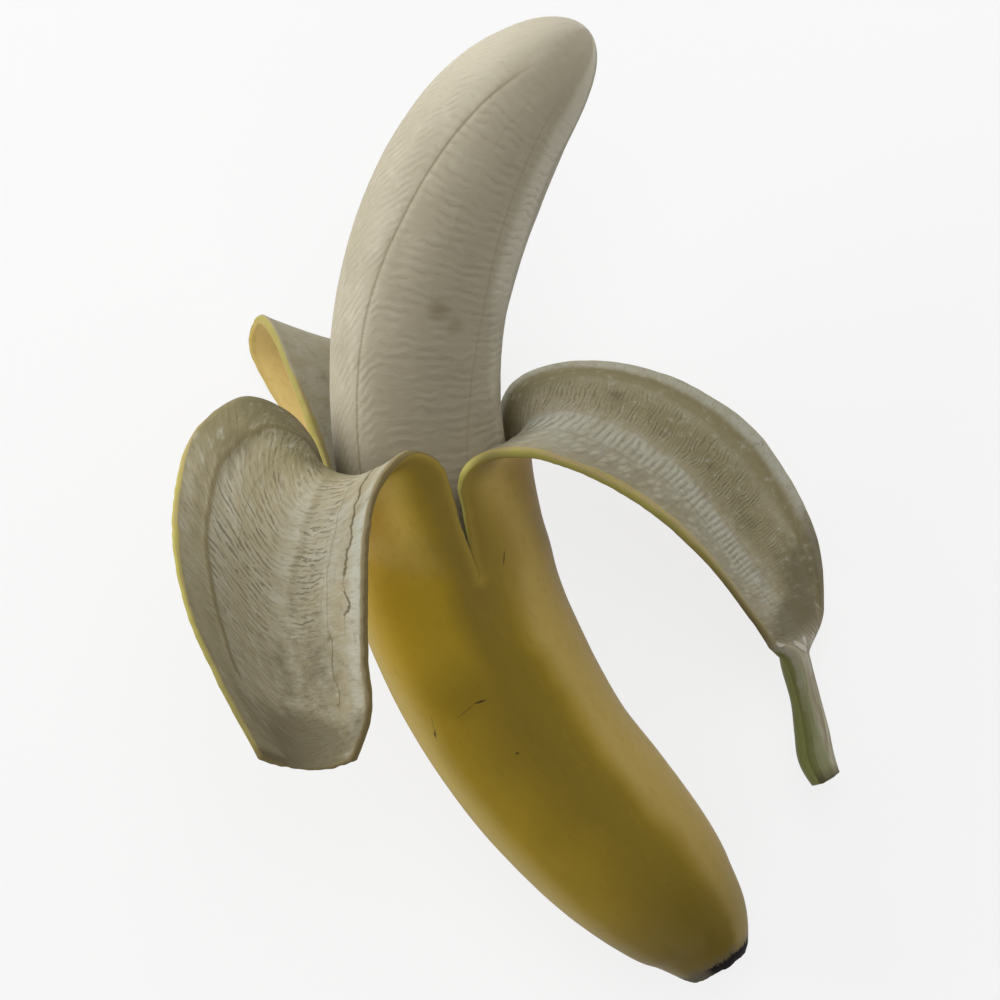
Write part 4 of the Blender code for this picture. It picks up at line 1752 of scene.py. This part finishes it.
@dataclass(frozen=True)
class SkinFinish:
    """The outside of the peel: waxy yellow, dark at the blossom end and green at the stem."""

    yellow: Colour = (0.315, 0.208, 0.014)
    deep: Colour = (0.27, 0.18, 0.011)
    shade_tone: Colour = (0.222, 0.153, 0.018)  # partly the skin's own olive, partly painted shade along the ridge that faces up
    umber: Colour = (0.21, 0.145, 0.028)  # painted shadow beside the slit that faces up, under the flap; also the blossom end's smudges
    # paler yellow: streaks and torn edges, and painted light and sheen on the left flank
    light: Colour = (0.35, 0.25, 0.042)
    # paler, less saturated tone that paints sheen and light on the right facet
    tan: Colour = (0.4, 0.284, 0.076)
    lit_gold: Colour = (0.375, 0.252, 0.018)
    # painted light for the shoulder under the side flap
    fold: Colour = (0.76, 0.54, 0.12)
    lit_apricot: Colour = (0.6, 0.43, 0.125)
    lit_straw: Colour = (0.58, 0.43, 0.16)
    olive: Colour = (0.135, 0.093, 0.012)
    scar: Colour = (0.12, 0.1, 0.07)
    black: Colour = (0.012, 0.008, 0.009)
    green: Colour = (0.22, 0.24, 0.085)
    moss: Colour = (0.1, 0.1, 0.035)
    bruise: Colour = (0.044, 0.024, 0.01)
    painted_sheen_zone: tuple[float, ...] = (25.0, 46.0, 110.0, 140.0)
    patches: tuple[Patch, ...] = (
        # Painted shade along the ridge, partly the skin's own olive.
        Patch(shade_tone, (-34.0, 8.0, 20.0, 38.0)),
        # Painted sheen and light on the right facet.
        Patch(tan, painted_sheen_zone),
        # Painted shadow on the right shoulder, under the flap.
        Patch(umber, (0.0, 16.0, 30.0, 56.0), (82.0, 102.0), 0.7),
        # Painted light and sheen on the left flank.
        Patch(light, (-150.0, -120.0, -60.0, -36.0)),
        Patch(deep, (-150.0, -120.0, -90.0, -66.0), strength=0.7),
        # Painted light on the left shoulder, where the side flap's shadow falls.
        Patch(lit_gold, (-70.0, -50.0, -12.0, 10.0), (78.0, 92.0)),
        # Painted light under the side flap's rim, which lifts its shadow.
        Patch(fold, (4.0, -18.0), (100.0, 124.0), 0.9),
        # Painted light on the right shoulder, where the stem's strip shades it.
        Patch(lit_apricot, (16.0, 48.0, 90.0, 120.0), (100.0, 120.0)),
        # Painted light on the back flap's skin, in the side flap's shadow.
        Patch(lit_straw, (-170.0, -150.0, -95.0, -80.0), (112.0, 130.0)),
    )
    marks: tuple[Mark, ...] = (
        Mark(-11.0, 78.3, 1.5, 0.28, -8.0),
        Mark(-21.0, 77.6, 2.6, 0.13, 20.0, 0.5),
        Mark(-46.5, 74.8, 1.3, 0.32, 60.0, 0.85),
        Mark(-44.0, 77.0, 1.6, 0.12, 70.0, 0.4),
        Mark(-8.0, 65.5, 0.5, 0.35, -10.0, 0.7),
        Mark(34.0, 102.3, 1.1, 0.17, 55.0, 0.7),
        Mark(-52.0, 23.3, 3.0, 0.12, -15.0, 0.4),
        Mark(120.0, 60.0, 2.0, 0.2, -35.0, 0.6),
        Mark(200.0, 45.0, 1.6, 0.3, 30.0, 0.7),
        Mark(-95.0, 55.0, 2.4, 0.16, -60.0, 0.5),
    )

    def marked(self, graph: Graph, place: Value, radius: float) -> Socket:
        """Adds the scratches' nodes.

        Args:
            graph: the material's nodes.
            place: where each point lies on the straightened fruit.
            radius: the radius of that fruit.

        Returns:
            How dark they make each point, from 0 to 1.
        """
        total: Value = 0.0
        wobble = graph.noise(place, (0.9, 0.9, 0.9), 3.0, 2.0)
        for mark in self.marks:
            angle, slant = math.radians(mark.bearing), math.radians(mark.slant)
            centre = Vector((math.sin(angle), math.cos(angle), 0.0)) * radius
            centre.z = mark.station
            round_way = Vector((math.cos(angle), -math.sin(angle), 0.0))
            run = round_way * math.cos(slant) + Vector((0.0, 0.0, math.sin(slant)))
            across = round_way * -math.sin(slant) + Vector((0.0, 0.0, math.cos(slant)))
            off = graph.add("VectorMath", {0: place, 1: tuple(centre)}, operation="SUBTRACT")
            sizes = (run, mark.half_length), (across, mark.half_width)
            reach = []
            for way, size in sizes:
                dot = {0: off.outputs[0], 1: tuple(way / size)}
                reach.append(graph.add("VectorMath", dot, operation="DOT_PRODUCT").outputs["Value"])
            bent = graph.scaled(reach[0], 0.35 * mark.slant / 60.0, reach[1])
            square = graph.scaled(bent, bent, graph.math("POWER", reach[0], 2.0))
            uneven = graph.scaled(wobble, 1.4, square)
            dark = graph.times(graph.band(uneven, 1.9, 0.9), mark.depth)
            outward = {0: place, 1: (math.sin(angle), math.cos(angle), 0.0)}
            facing = graph.add("VectorMath", outward, operation="DOT_PRODUCT").outputs["Value"]
            dark = graph.times(dark, graph.math("GREATER_THAN", facing, 0.0))
            total = graph.math("MAXIMUM", total, dark)
        return total

    def paint(self, graph: Graph, form: FruitForm) -> Paint:
        """Adds the skin's nodes.

        Args:
            graph: the material's nodes.
            form: the fruit's form.

        Returns:
            The skin's colour, roughness and height.
        """
        place = graph.fact(Fact.PLACE)
        station = graph.part(place, "Z")
        bearing = graph.bearing(place, 10.0)
        clouds = graph.noise(place, (11.0, 11.0, 14.0), 0.0, 2.0)
        mottle = graph.noise(place, (2.4, 2.4, 2.8), 9.0, 4.0, 0.62)
        colour = graph.mix(graph.band(clouds, 0.34, 0.66), self.deep, self.yellow)
        for patch in self.patches:
            colour = patch.lay(graph, colour, station, bearing)
        painted_sheen_zone = graph.zone(bearing, *self.painted_sheen_zone)
        colour = graph.wash(colour, self.deep, graph.band(mottle, 0.5, 0.74), 0.2)
        streaks = graph.noise(place, (1.3, 1.3, 3.6), 41.0, 4.0, 0.6)
        colour = graph.wash(colour, self.olive, graph.band(streaks, 0.54, 0.76), 0.16)
        colour = graph.wash(colour, self.light, graph.band(streaks, 0.48, 0.26), 0.12)
        edge = graph.fact(Fact.EDGE)
        colour = graph.wash(colour, self.light, graph.band(edge, 2.0, 0.0), 0.4)
        drift = graph.scaled(clouds, -10.0, station)
        colour = graph.wash(colour, self.olive, graph.band(drift, 60.0, 14.0), 0.18)
        # The blossom end's own olive, held back where the sheen is painted.
        low = graph.times(graph.band(drift, 30.0, -2.0), graph.band(painted_sheen_zone, 1.6, 0.0))
        colour = graph.wash(colour, self.olive, low, 0.75)
        colour = graph.wash(colour, self.olive, graph.band(station, 26.0, 5.0), 0.42)
        smudge = graph.times(graph.band(station, 30.0, 10.0), graph.band(clouds, 0.5, 0.62))
        colour = graph.wash(colour, self.umber, smudge, 0.35)
        ragged = graph.noise(place, (2.4, 2.4, 2.0), 12.0, 4.0, 0.6)
        uneven = graph.scaled(ragged, -3.2, station)
        colour = graph.wash(colour, self.scar, graph.band(uneven, 2.2, -0.6), 0.7)
        across = graph.part(place, "X")
        patchy = graph.scaled(clouds, 14.0, across)
        crust = graph.mix(graph.band(patchy, -3.0, 5.0), self.scar, self.black)
        colour = graph.wash(colour, crust, graph.band(uneven, 0.35, -0.35))
        stem = graph.fact(Fact.STEM)
        fibre = graph.noise(place, (1.6, 1.6, 16.0), 15.0, 3.0)
        green = graph.scaled(fibre, 0.3, stem)
        colour = graph.wash(colour, self.green, graph.band(green, 0.32, 0.6))
        colour = graph.wash(colour, self.moss, graph.band(green, 1.05, 1.3), 0.8)
        dots = graph.specks(graph.stretched(place, (3.1, 3.1, 3.8), 2.0), 0.075, 0.3)
        fine = graph.specks(graph.stretched(place, (1.5, 1.5, 1.7), 7.0), 0.09, 0.12)
        spots = graph.math("MAXIMUM", graph.times(dots, 0.4), graph.times(fine, 0.3))
        dark = graph.math("MAXIMUM", self.marked(graph, place, form.texture_radius), spots)
        colour = graph.mix(dark, colour, self.bruise)
        roughness = graph.between(graph.band(uneven, 0.6, -0.4), 0.42, 0.75)
        roughness = graph.scaled(mottle, 0.1, roughness)
        pores = graph.noise(place, (0.5, 0.5, 0.6), 4.0, 2.0)
        height = graph.scaled(pores, 0.01, graph.times(mottle, 0.03))
        rough = graph.times(ragged, graph.band(station, 2.0, 0.6))
        height = graph.scaled(rough, 0.5, height)
        height = graph.scaled(dark, -0.06, height)
        return Paint(colour, roughness, height)


@dataclass(frozen=True)
class PithFinish:
    """The inside of the peel: pale, stringy, ribbed crosswise and stained here and there, with
    painted shade and light.
    """

    beige: Colour = (0.31, 0.27, 0.172)
    pale: Colour = (0.4, 0.393, 0.322)
    cream: Colour = (0.42, 0.38, 0.26)
    # painted light for the back flap's shaded pocket
    white: Colour = (0.84, 0.79, 0.66)
    line: Colour = (0.14, 0.115, 0.062)
    olive: Colour = (0.2, 0.174, 0.088)
    split: Colour = (0.1, 0.08, 0.035)
    tan: Colour = (0.17, 0.14, 0.076)
    # brown for stains and the stem's cut end, and also painted shade
    shade: Colour = (0.092, 0.074, 0.038)
    string: Colour = (0.17, 0.136, 0.064)
    torn: Colour = (0.46, 0.43, 0.35)
    fibre_dark: Colour = (0.26, 0.225, 0.15)
    fibre_light: Colour = (0.45, 0.415, 0.32)
    moss: Colour = (0.19, 0.2, 0.085)

    def paint(self, graph: Graph) -> Paint:
        """Adds the pith's nodes.

        Args:
            graph: the material's nodes.

        Returns:
            The pith's colour, roughness and height.
        """
        weave = graph.fact(Fact.WEAVE)
        ribbed, hatched, netted = (graph.fact(f) for f in (Fact.RIBS, Fact.HATCH, Fact.CELLS))
        phase = graph.times(graph.fact(Fact.CYCLES), math.tau)
        fine = graph.noise(weave, (2.2, 0.55, 1.0), 6.0, 4.0, 0.6, 0.4)
        patches = graph.noise(weave, (5.0, 3.0, 1.0), 2.0, 4.0, 0.6)
        clouds = graph.noise(weave, (10.0, 12.0, 1.0), 11.0, 4.0, 0.6)
        fibre = graph.noise(weave, (0.7, 12.0, 1.0), 14.0, 4.0, 0.6)
        pale_and_lit = graph.scaled(patches, 0.9, graph.fact(Fact.PALE))
        colour = graph.mix(graph.band(pale_and_lit, 0.5, 1.35), self.beige, self.pale)
        # Olive, which also paints shade where the olive spots lie.
        green = graph.scaled(clouds, 0.7, graph.fact(Fact.OLIVE))
        colour = graph.wash(colour, self.olive, graph.band(green, 0.35, 1.25), 0.9)
        dirt = graph.noise(weave, (2.8, 2.2, 1.0), 37.0, 5.0, 0.7)
        colour = graph.wash(colour, self.tan, graph.band(dirt, 0.52, 0.74), 0.5)
        colour = graph.wash(colour, self.pale, graph.band(dirt, 0.47, 0.28), 0.55)
        uneven = graph.scaled(fine, -0.9, graph.math("SINE", phase))
        # Painted shade in the rib grooves and painted highlight on their crests, over the ribs'
        # bump.
        groove = graph.times(graph.band(uneven, -0.7, -1.35), ribbed)
        colour = graph.wash(colour, self.tan, groove, 0.45)
        crest = graph.times(graph.band(uneven, -0.1, 0.5), ribbed)
        colour = graph.wash(colour, self.cream, crest, 0.28)
        jitter = graph.noise(weave, (3.2, 1.6, 1.0), 17.0, 3.0, 0.6)
        line = graph.math("SINE", graph.scaled(jitter, 9.0, graph.times(phase, 2.0)))
        short = graph.noise(weave, (1.7, 0.8, 1.0), 23.0, 3.0, 0.6)
        long = graph.noise(weave, (6.0, 1.1, 1.0), 27.0, 3.0, 0.6)
        dashes = graph.between(graph.fact(Fact.SWEEP), short, long)
        broken = graph.times(graph.band(dashes, 0.42, 0.58), hatched)
        worn = graph.between(graph.band(patches, 0.4, 0.6), 0.45, 1.0)
        broken = graph.times(broken, worn)
        hatch = graph.times(graph.band(line, 0.2, -0.8), broken)
        colour = graph.wash(colour, self.line, hatch, 0.72)
        blotch = graph.times(graph.band(dashes, 0.52, 0.7), graph.band(clouds, 0.48, 0.66))
        colour = graph.wash(colour, self.tan, graph.times(blotch, hatched), 0.5)
        raised = graph.times(graph.band(line, 0.2, 0.9), broken)
        colour = graph.wash(colour, self.cream, raised, 0.25)
        netting = graph.stretched(weave, (2.5, 2.1, 40.0), 3.0)
        cells = graph.add("TexVoronoi", {"Vector": netting, "Scale": 1.0}).outputs["Distance"]
        dome = graph.times(graph.band(graph.scaled(fine, 0.2, cells), 0.7, 0.2), netted)
        hollow = graph.math("SUBTRACT", netted, dome)
        # Painted shade in the net's hollows and painted light on its domes, over the domes' bump.
        colour = graph.wash(colour, self.tan, hollow, 0.3)
        colour = graph.wash(colour, self.cream, dome, 0.4)
        colour = graph.wash(colour, self.tan, graph.band(fine, 0.5, 0.28), 0.3)
        string = graph.math("ABSOLUTE", graph.fact(Fact.STRING))
        frayed = graph.scaled(fine, 0.8, string)
        cord = graph.times(graph.band(frayed, 1.4, 0.5), graph.fact(Fact.TONE))
        colour = graph.mix(cord, colour, self.string)
        # Brown stains and painted shade, both towards the shade colour.
        stain = graph.scaled(clouds, 0.6, graph.fact(Fact.STAIN))
        stain = graph.scaled(dirt, 0.8, stain)
        colour = graph.wash(colour, self.shade, graph.band(stain, 0.9, 1.7), 0.66)
        # Painted light: white where the pith is palest, in the back flap's shaded pocket.
        painted_light = graph.scaled(fine, -0.5, graph.fact(Fact.PALE))
        colour = graph.wash(colour, self.white, graph.band(painted_light, 1.0, 1.5), 0.85)
        crack = graph.math("ABSOLUTE", graph.fact(Fact.CRACK))
        gap = graph.band(graph.scaled(fine, 0.8, crack), 0.85, 0.5)
        colour = graph.wash(colour, self.split, gap, 0.8)
        stem = graph.fact(Fact.STEM)
        stringy = graph.mix(graph.band(fibre, 0.35, 0.65), self.fibre_dark, self.fibre_light)
        aside = graph.part(weave, "X")
        aside = graph.scaled(stem, -3.0, aside)
        mossy = graph.band(graph.scaled(fibre, 1.4, aside), 0.4, -1.4)
        stringy = graph.wash(stringy, self.moss, mossy, 0.8)
        stringy = graph.wash(stringy, self.shade, graph.band(stem, 0.9, 1.0), 0.6)
        colour = graph.mix(graph.band(stem, 0.2, 0.34), colour, stringy)
        torn = graph.scaled(fibre, 1.1, graph.fact(Fact.FRAY))
        frays = graph.band(torn, 0.85, 1.15)
        colour = graph.wash(colour, self.torn, frays, 0.9)
        height = graph.times(graph.times(uneven, ribbed), 0.09)
        bumps = (hatch, -0.1), (frays, 0.25), (fine, 0.08), (dome, 0.2), (gap, -0.08), (cord, 0.1)
        for bump, rise in bumps:
            height = graph.scaled(bump, rise, height)
        height = graph.scaled(graph.times(fibre, graph.band(stem, 0.2, 0.7)), 0.3, height)
        return Paint(colour, 0.72, height)


@dataclass(frozen=True)
class TornFinish:
    """The torn edge between skin and pith, lime in some places and tan in others."""

    lime: Colour = (0.38, 0.335, 0.085)
    rose: Colour = (0.38, 0.28, 0.14)
    tan: Colour = (0.27, 0.22, 0.12)
    brown: Colour = (0.165, 0.125, 0.048)
    white: Colour = (0.36, 0.355, 0.27)
    moss: Colour = (0.16, 0.165, 0.06)
    grey: Colour = (0.3, 0.275, 0.2)
    cut: Colour = (0.1, 0.085, 0.045)

    def paint(self, graph: Graph, side: Value) -> Paint:
        """Adds the torn edge's nodes.

        Args:
            graph: the material's nodes.
            side: 1 on the skin, -1 on the pith.

        Returns:
            The torn edge's colour, roughness and height.
        """
        place = graph.fact(Fact.PLACE)
        threads = graph.noise(place, (1.2, 1.2, 3.0), 21.0, 3.0)
        lean = graph.scaled(threads, 0.9, side)
        two_tone = graph.mix(graph.band(lean, -0.3, 0.2), self.tan, self.brown)
        limes = graph.mix(graph.band(lean, -0.3, -0.75), self.lime, self.rose)
        colour = graph.mix(graph.fact(Fact.TAN), limes, two_tone)
        colour = graph.wash(colour, self.white, graph.band(graph.fact(Fact.PALE), 0.8, 0.95), 0.8)
        # Brown where stains lie and where shade is painted.
        colour = graph.wash(colour, self.brown, graph.band(graph.fact(Fact.STAIN), 0.2, 0.9), 0.8)
        stem = graph.fact(Fact.STEM)
        aside = graph.part(graph.fact(Fact.WEAVE), "X")
        low = graph.times(graph.band(aside, 2.0, 1.0), graph.band(stem, 0.2, 0.9))
        damp = graph.band(graph.scaled(threads, 0.5, low), 0.3, 1.0)
        fibrous = graph.mix(damp, self.grey, self.moss)
        fibrous = graph.mix(graph.band(lean, 0.3, 0.8), fibrous, self.moss)
        colour = graph.wash(colour, fibrous, graph.band(stem, 0.14, 0.32))
        colour = graph.wash(colour, self.cut, graph.band(stem, 0.9, 0.99))
        return Paint(colour, 0.6, graph.times(threads, 0.12))


@dataclass(frozen=True)
class PeelFinish:
    """The whole peel: skin outside, pith inside and the torn edge between them."""

    skin: SkinFinish = SkinFinish()
    pith: PithFinish = PithFinish()
    torn: TornFinish = TornFinish()
    gloss: float = 0.12

    def build(self, form: FruitForm) -> Material:
        """Makes the material.

        Args:
            form: the fruit's form.

        Returns:
            The material.
        """
        graph = Graph("banana_peel")
        side = graph.fact(Fact.SIDE)
        skin = self.skin.paint(graph, form)
        pith = self.pith.paint(graph)
        torn = self.torn.paint(graph, side)
        to_skin = graph.band(side, 0.55, 0.95)
        edge = graph.fact(Fact.EDGE)
        ragged = graph.noise(graph.fact(Fact.WEAVE), (0.8, 3.0, 1.0), 31.0, 3.0)
        inward = graph.math("SUBTRACT", graph.scaled(ragged, 0.8, edge), graph.fact(Fact.LIP))
        past_lip = graph.band(inward, 0.0, 0.45)
        to_pith = graph.times(graph.band(side, -0.55, -0.95), past_lip)
        colour = graph.mix(to_skin, torn.colour, skin.colour)
        colour = graph.mix(to_pith, colour, pith.colour)
        roughness = graph.between(to_skin, torn.roughness, skin.roughness)
        roughness = graph.between(to_pith, roughness, pith.roughness)
        height = graph.between(to_skin, torn.height, skin.height)
        height = graph.between(to_pith, height, pith.height)
        graph.shader.inputs["Specular IOR Level"].default_value = self.gloss
        return graph.finish(Paint(colour, roughness, height))


@dataclass(frozen=True)
class FleshFinish:
    """The flesh: cream, wrinkled crosswise, with thin darker seams."""

    cream: Colour = (0.36, 0.322, 0.232)
    # pale patches, painted light on the upper left and the stem's side, and painted highlight on
    # crests
    light: Colour = (0.47, 0.43, 0.33)
    dull: Colour = (0.3, 0.264, 0.18)
    shade_tone: Colour = (0.22, 0.188, 0.118)  # painted shade, low down near the torn peel and on the stem's side
    groove: Colour = (0.2, 0.168, 0.104)
    seam: Colour = (0.2, 0.156, 0.08)
    stain: Colour = (0.16, 0.128, 0.056)
    patches: tuple[Patch, ...] = (
        # Painted shade low down, near the torn peel.
        Patch(shade_tone, (-46.0, -22.0, 54.0, 70.0), (176.0, 130.0), 0.7),
        # Painted shade on the middle facet, which faces up.
        Patch(dull, (-16.0, 4.0, 56.0, 64.0), strength=0.6),
        # Painted shade on the stem's side.
        Patch(shade_tone, (72.0, 84.0), strength=0.5),
    )
    subsurface: float = 0.12
    subsurface_depth: float = 2.0  # millimetres

    def build(self) -> Material:
        """Makes the material.

        Returns:
            The material.
        """
        graph = Graph("banana_flesh")
        place = graph.fact(Fact.PLACE)
        station = graph.part(place, "Z")
        bearing = graph.bearing(place, 8.0)
        wave = graph.math("SINE", graph.times(graph.fact(Fact.CYCLES), math.tau))
        ribbed = graph.fact(Fact.RIBS)
        fine = graph.noise(place, (2.6, 2.6, 0.6), 8.0, 4.0, 0.6, 0.3)
        clouds = graph.noise(place, (12.0, 12.0, 16.0), 3.0, 4.0, 0.6)
        patches = graph.noise(place, (4.0, 4.0, 3.0), 5.0, 3.0, 0.6)
        colour = graph.mix(graph.band(clouds, 0.3, 0.7), self.dull, self.cream)
        colour = graph.wash(colour, self.light, graph.band(patches, 0.5, 0.75), 0.3)
        for patch in self.patches:
            colour = patch.lay(graph, colour, station, bearing)
        # Painted light on the upper left and on the stem's side past the second seam.
        painted_light_crown = graph.times(graph.band(station, 176.0, 200.0), graph.band(bearing, -5.0, -35.0))
        side = graph.zone(bearing, 46.0, 60.0, 74.0, 84.0)
        painted_light_flank = graph.times(graph.band(station, 150.0, 162.0), side)
        colour = graph.wash(colour, self.light, graph.math("MAXIMUM", painted_light_crown, painted_light_flank), 0.75)
        # Painted shade in the wrinkles' grooves and painted highlight on their crests, over their
        # bump.
        uneven = graph.scaled(fine, -1.1, wave)
        groove = graph.times(graph.band(uneven, -0.9, -1.5), ribbed)
        groove = graph.times(groove, graph.band(patches, 0.36, 0.62))
        colour = graph.wash(colour, self.groove, groove, 0.36)
        crest = graph.times(graph.band(uneven, -0.1, 0.5), ribbed)
        colour = graph.wash(colour, self.light, crest, 0.12)
        colour = graph.wash(colour, self.groove, graph.band(fine, 0.46, 0.3), 0.16)
        seam = graph.math("ABSOLUTE", graph.fact(Fact.STRING))
        frayed = graph.scaled(fine, 0.5, seam)
        line = graph.times(graph.band(frayed, 0.7, 0.32), graph.fact(Fact.TONE))
        colour = graph.mix(line, colour, self.seam)
        stained = graph.scaled(fine, 0.5, graph.fact(Fact.STAIN))
        colour = graph.wash(colour, self.stain, graph.band(stained, 0.5, 1.2), 0.6)
        dots = graph.specks(graph.stretched(place, (2.6, 2.6, 2.6), 5.0), 0.07, 0.1)
        colour = graph.wash(colour, self.stain, dots, 0.4)
        height = graph.times(graph.times(uneven, ribbed), 0.022)
        height = graph.scaled(fine, 0.06, height)
        height = graph.scaled(line, -0.1, height)
        inputs = graph.shader.inputs
        inputs["Subsurface Weight"].default_value = self.subsurface
        inputs["Subsurface Radius"].default_value = (1.0, 0.8, 0.5)
        inputs["Subsurface Scale"].default_value = self.subsurface_depth * MM
        return graph.finish(Paint(colour, 0.62, height))


# --- the studio --------------------------------------------------------------------------------


@dataclass(frozen=True)
class Softbox:
    """A square lamp that looks at the fruit. Its lengths are in metres."""

    name: str
    azimuth: float  # degrees from +x towards +y
    elevation: float
    distance: float
    size: float
    power: float  # watts

    def build(self, aim: Vector) -> None:
        """Makes the lamp.

        Args:
            aim: the point it looks at, in metres.
        """
        turn, rise = math.radians(self.azimuth), math.radians(self.elevation)
        level = math.cos(rise)
        way = Vector((math.cos(turn) * level, math.sin(turn) * level, math.sin(rise)))
        lamp = bpy.data.lights.new(self.name, "AREA")
        lamp.size = self.size
        lamp.energy = self.power
        made = bpy.data.objects.new(self.name, lamp)
        made.matrix_world = Matrix.Translation(aim + way * self.distance) @ (
            way.to_track_quat("Z", "Y").to_matrix().to_4x4()
        )
        bpy.context.scene.collection.objects.link(made)


@dataclass(frozen=True)
class Studio:
    """A pale floor, soft lamps and a camera that looks straight down."""

    background: Colour = (0.945, 0.945, 0.945)
    floor_albedo: Colour = (0.7, 0.7, 0.7)
    floor_shadow: float = 0.16  # the share of the floor's brightness that a shadow can take away
    sky: float = 0.25
    camera_height: float = 575.0  # above the table, in millimetres
    frame_width: float = 192.3  # what the camera takes in across, 40 mm above the table
    frame_level: float = 40.0
    sensor: float = 36.0
    aim: Triple = (0.0, 0.0, 0.035)  # the point that the lamps look at, in metres
    softboxes: tuple[Softbox, ...] = (
        Softbox("left_softbox", 160.0, 12.0, 0.9, 0.7, 11.3),
        Softbox("right_softbox", 42.0, 13.0, 0.9, 0.6, 3.2),
        Softbox("upper_softbox", 90.0, 60.0, 0.9, 0.6, 3.2),
        Softbox("lower_softbox", 270.0, 12.0, 0.9, 0.6, 1.7),
    )

    def build_floor(self) -> None:
        """Makes the floor, which looks evenly pale but for a light shadow."""
        bpy.ops.mesh.primitive_plane_add(size=8.0)
        floor = bpy.context.object
        floor.name = "floor"
        graph = Graph("pale_floor")
        graph.shader.inputs["Base Color"].default_value = (*self.floor_albedo, 1.0)
        graph.shader.inputs["Roughness"].default_value = 0.9
        lit = 1.0 - self.floor_shadow
        glow = graph.add("Emission", {"Color": self.background, "Strength": lit})
        matt = graph.add("BsdfDiffuse", {"Color": self.background})
        graph.plug(matt.inputs["Color"], tuple(c * self.floor_shadow for c in self.background))
        seen = graph.add("AddShader", {0: glow.outputs[0], 1: matt.outputs[0]})
        light_path = graph.add("LightPath", {})
        camera_or_glossy = graph.math(
            "MAXIMUM", light_path.outputs["Is Camera Ray"], light_path.outputs["Is Glossy Ray"]
        )
        either = graph.math("MAXIMUM", camera_or_glossy, light_path.outputs["Is Transmission Ray"])
        both = graph.add("MixShader", {0: either, 1: graph.shader.outputs[0], 2: seen.outputs[0]})
        output = graph.tree.nodes["Material Output"]
        graph.plug(output.inputs["Surface"], both.outputs[0])
        floor.data.materials.append(graph.material)
        log.info("floor")

    def build_world(self) -> None:
        """Makes an even sky that the camera sees as the background."""
        world = bpy.data.worlds.new("sky")
        world.use_nodes = True
        bpy.context.scene.world = world
        tree = world.node_tree
        sky = tree.nodes["Background"]
        sky.inputs["Color"].default_value = (1.0, 1.0, 1.0, 1.0)
        sky.inputs["Strength"].default_value = self.sky
        seen = tree.nodes.new("ShaderNodeBackground")
        seen.inputs["Color"].default_value = (*self.background, 1.0)
        path = tree.nodes.new("ShaderNodeLightPath")
        mix = tree.nodes.new("ShaderNodeMixShader")
        tree.links.new(path.outputs["Is Camera Ray"], mix.inputs[0])
        tree.links.new(sky.outputs[0], mix.inputs[1])
        tree.links.new(seen.outputs[0], mix.inputs[2])
        tree.links.new(mix.outputs[0], tree.nodes["World Output"].inputs["Surface"])

    def build_camera(self) -> None:
        """Makes the camera above the fruit."""
        camera = bpy.data.cameras.new("camera")
        camera.sensor_width = self.sensor
        camera.lens = self.sensor * (self.camera_height - self.frame_level) / self.frame_width
        made = bpy.data.objects.new("camera", camera)
        x, y = TABLE_MIDDLE
        made.location = Vector((-x, -y, self.camera_height - REST_DEPTH)) * MM
        bpy.context.scene.collection.objects.link(made)
        bpy.context.scene.camera = made

    def build(self) -> None:
        """Makes the whole studio."""
        for softbox in self.softboxes:
            softbox.build(Vector(self.aim))
        self.build_floor()
        self.build_world()
        self.build_camera()
        bpy.context.scene.view_settings.view_transform = "Standard"


def main() -> None:
    """Builds the banana's looks and the studio, and reports each piece."""
    logging.basicConfig(level=logging.INFO, format="%(name)s: %(message)s")
    form = FruitForm()
    peel = Peel(form).build(PeelFinish().build(form))
    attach(peel, "root")
    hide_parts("peel")
    flesh = Flesh(form).build(FleshFinish().build())
    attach(flesh, "root")
    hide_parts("flesh")
    Studio().build()


if __name__ == "__main__":
    main()
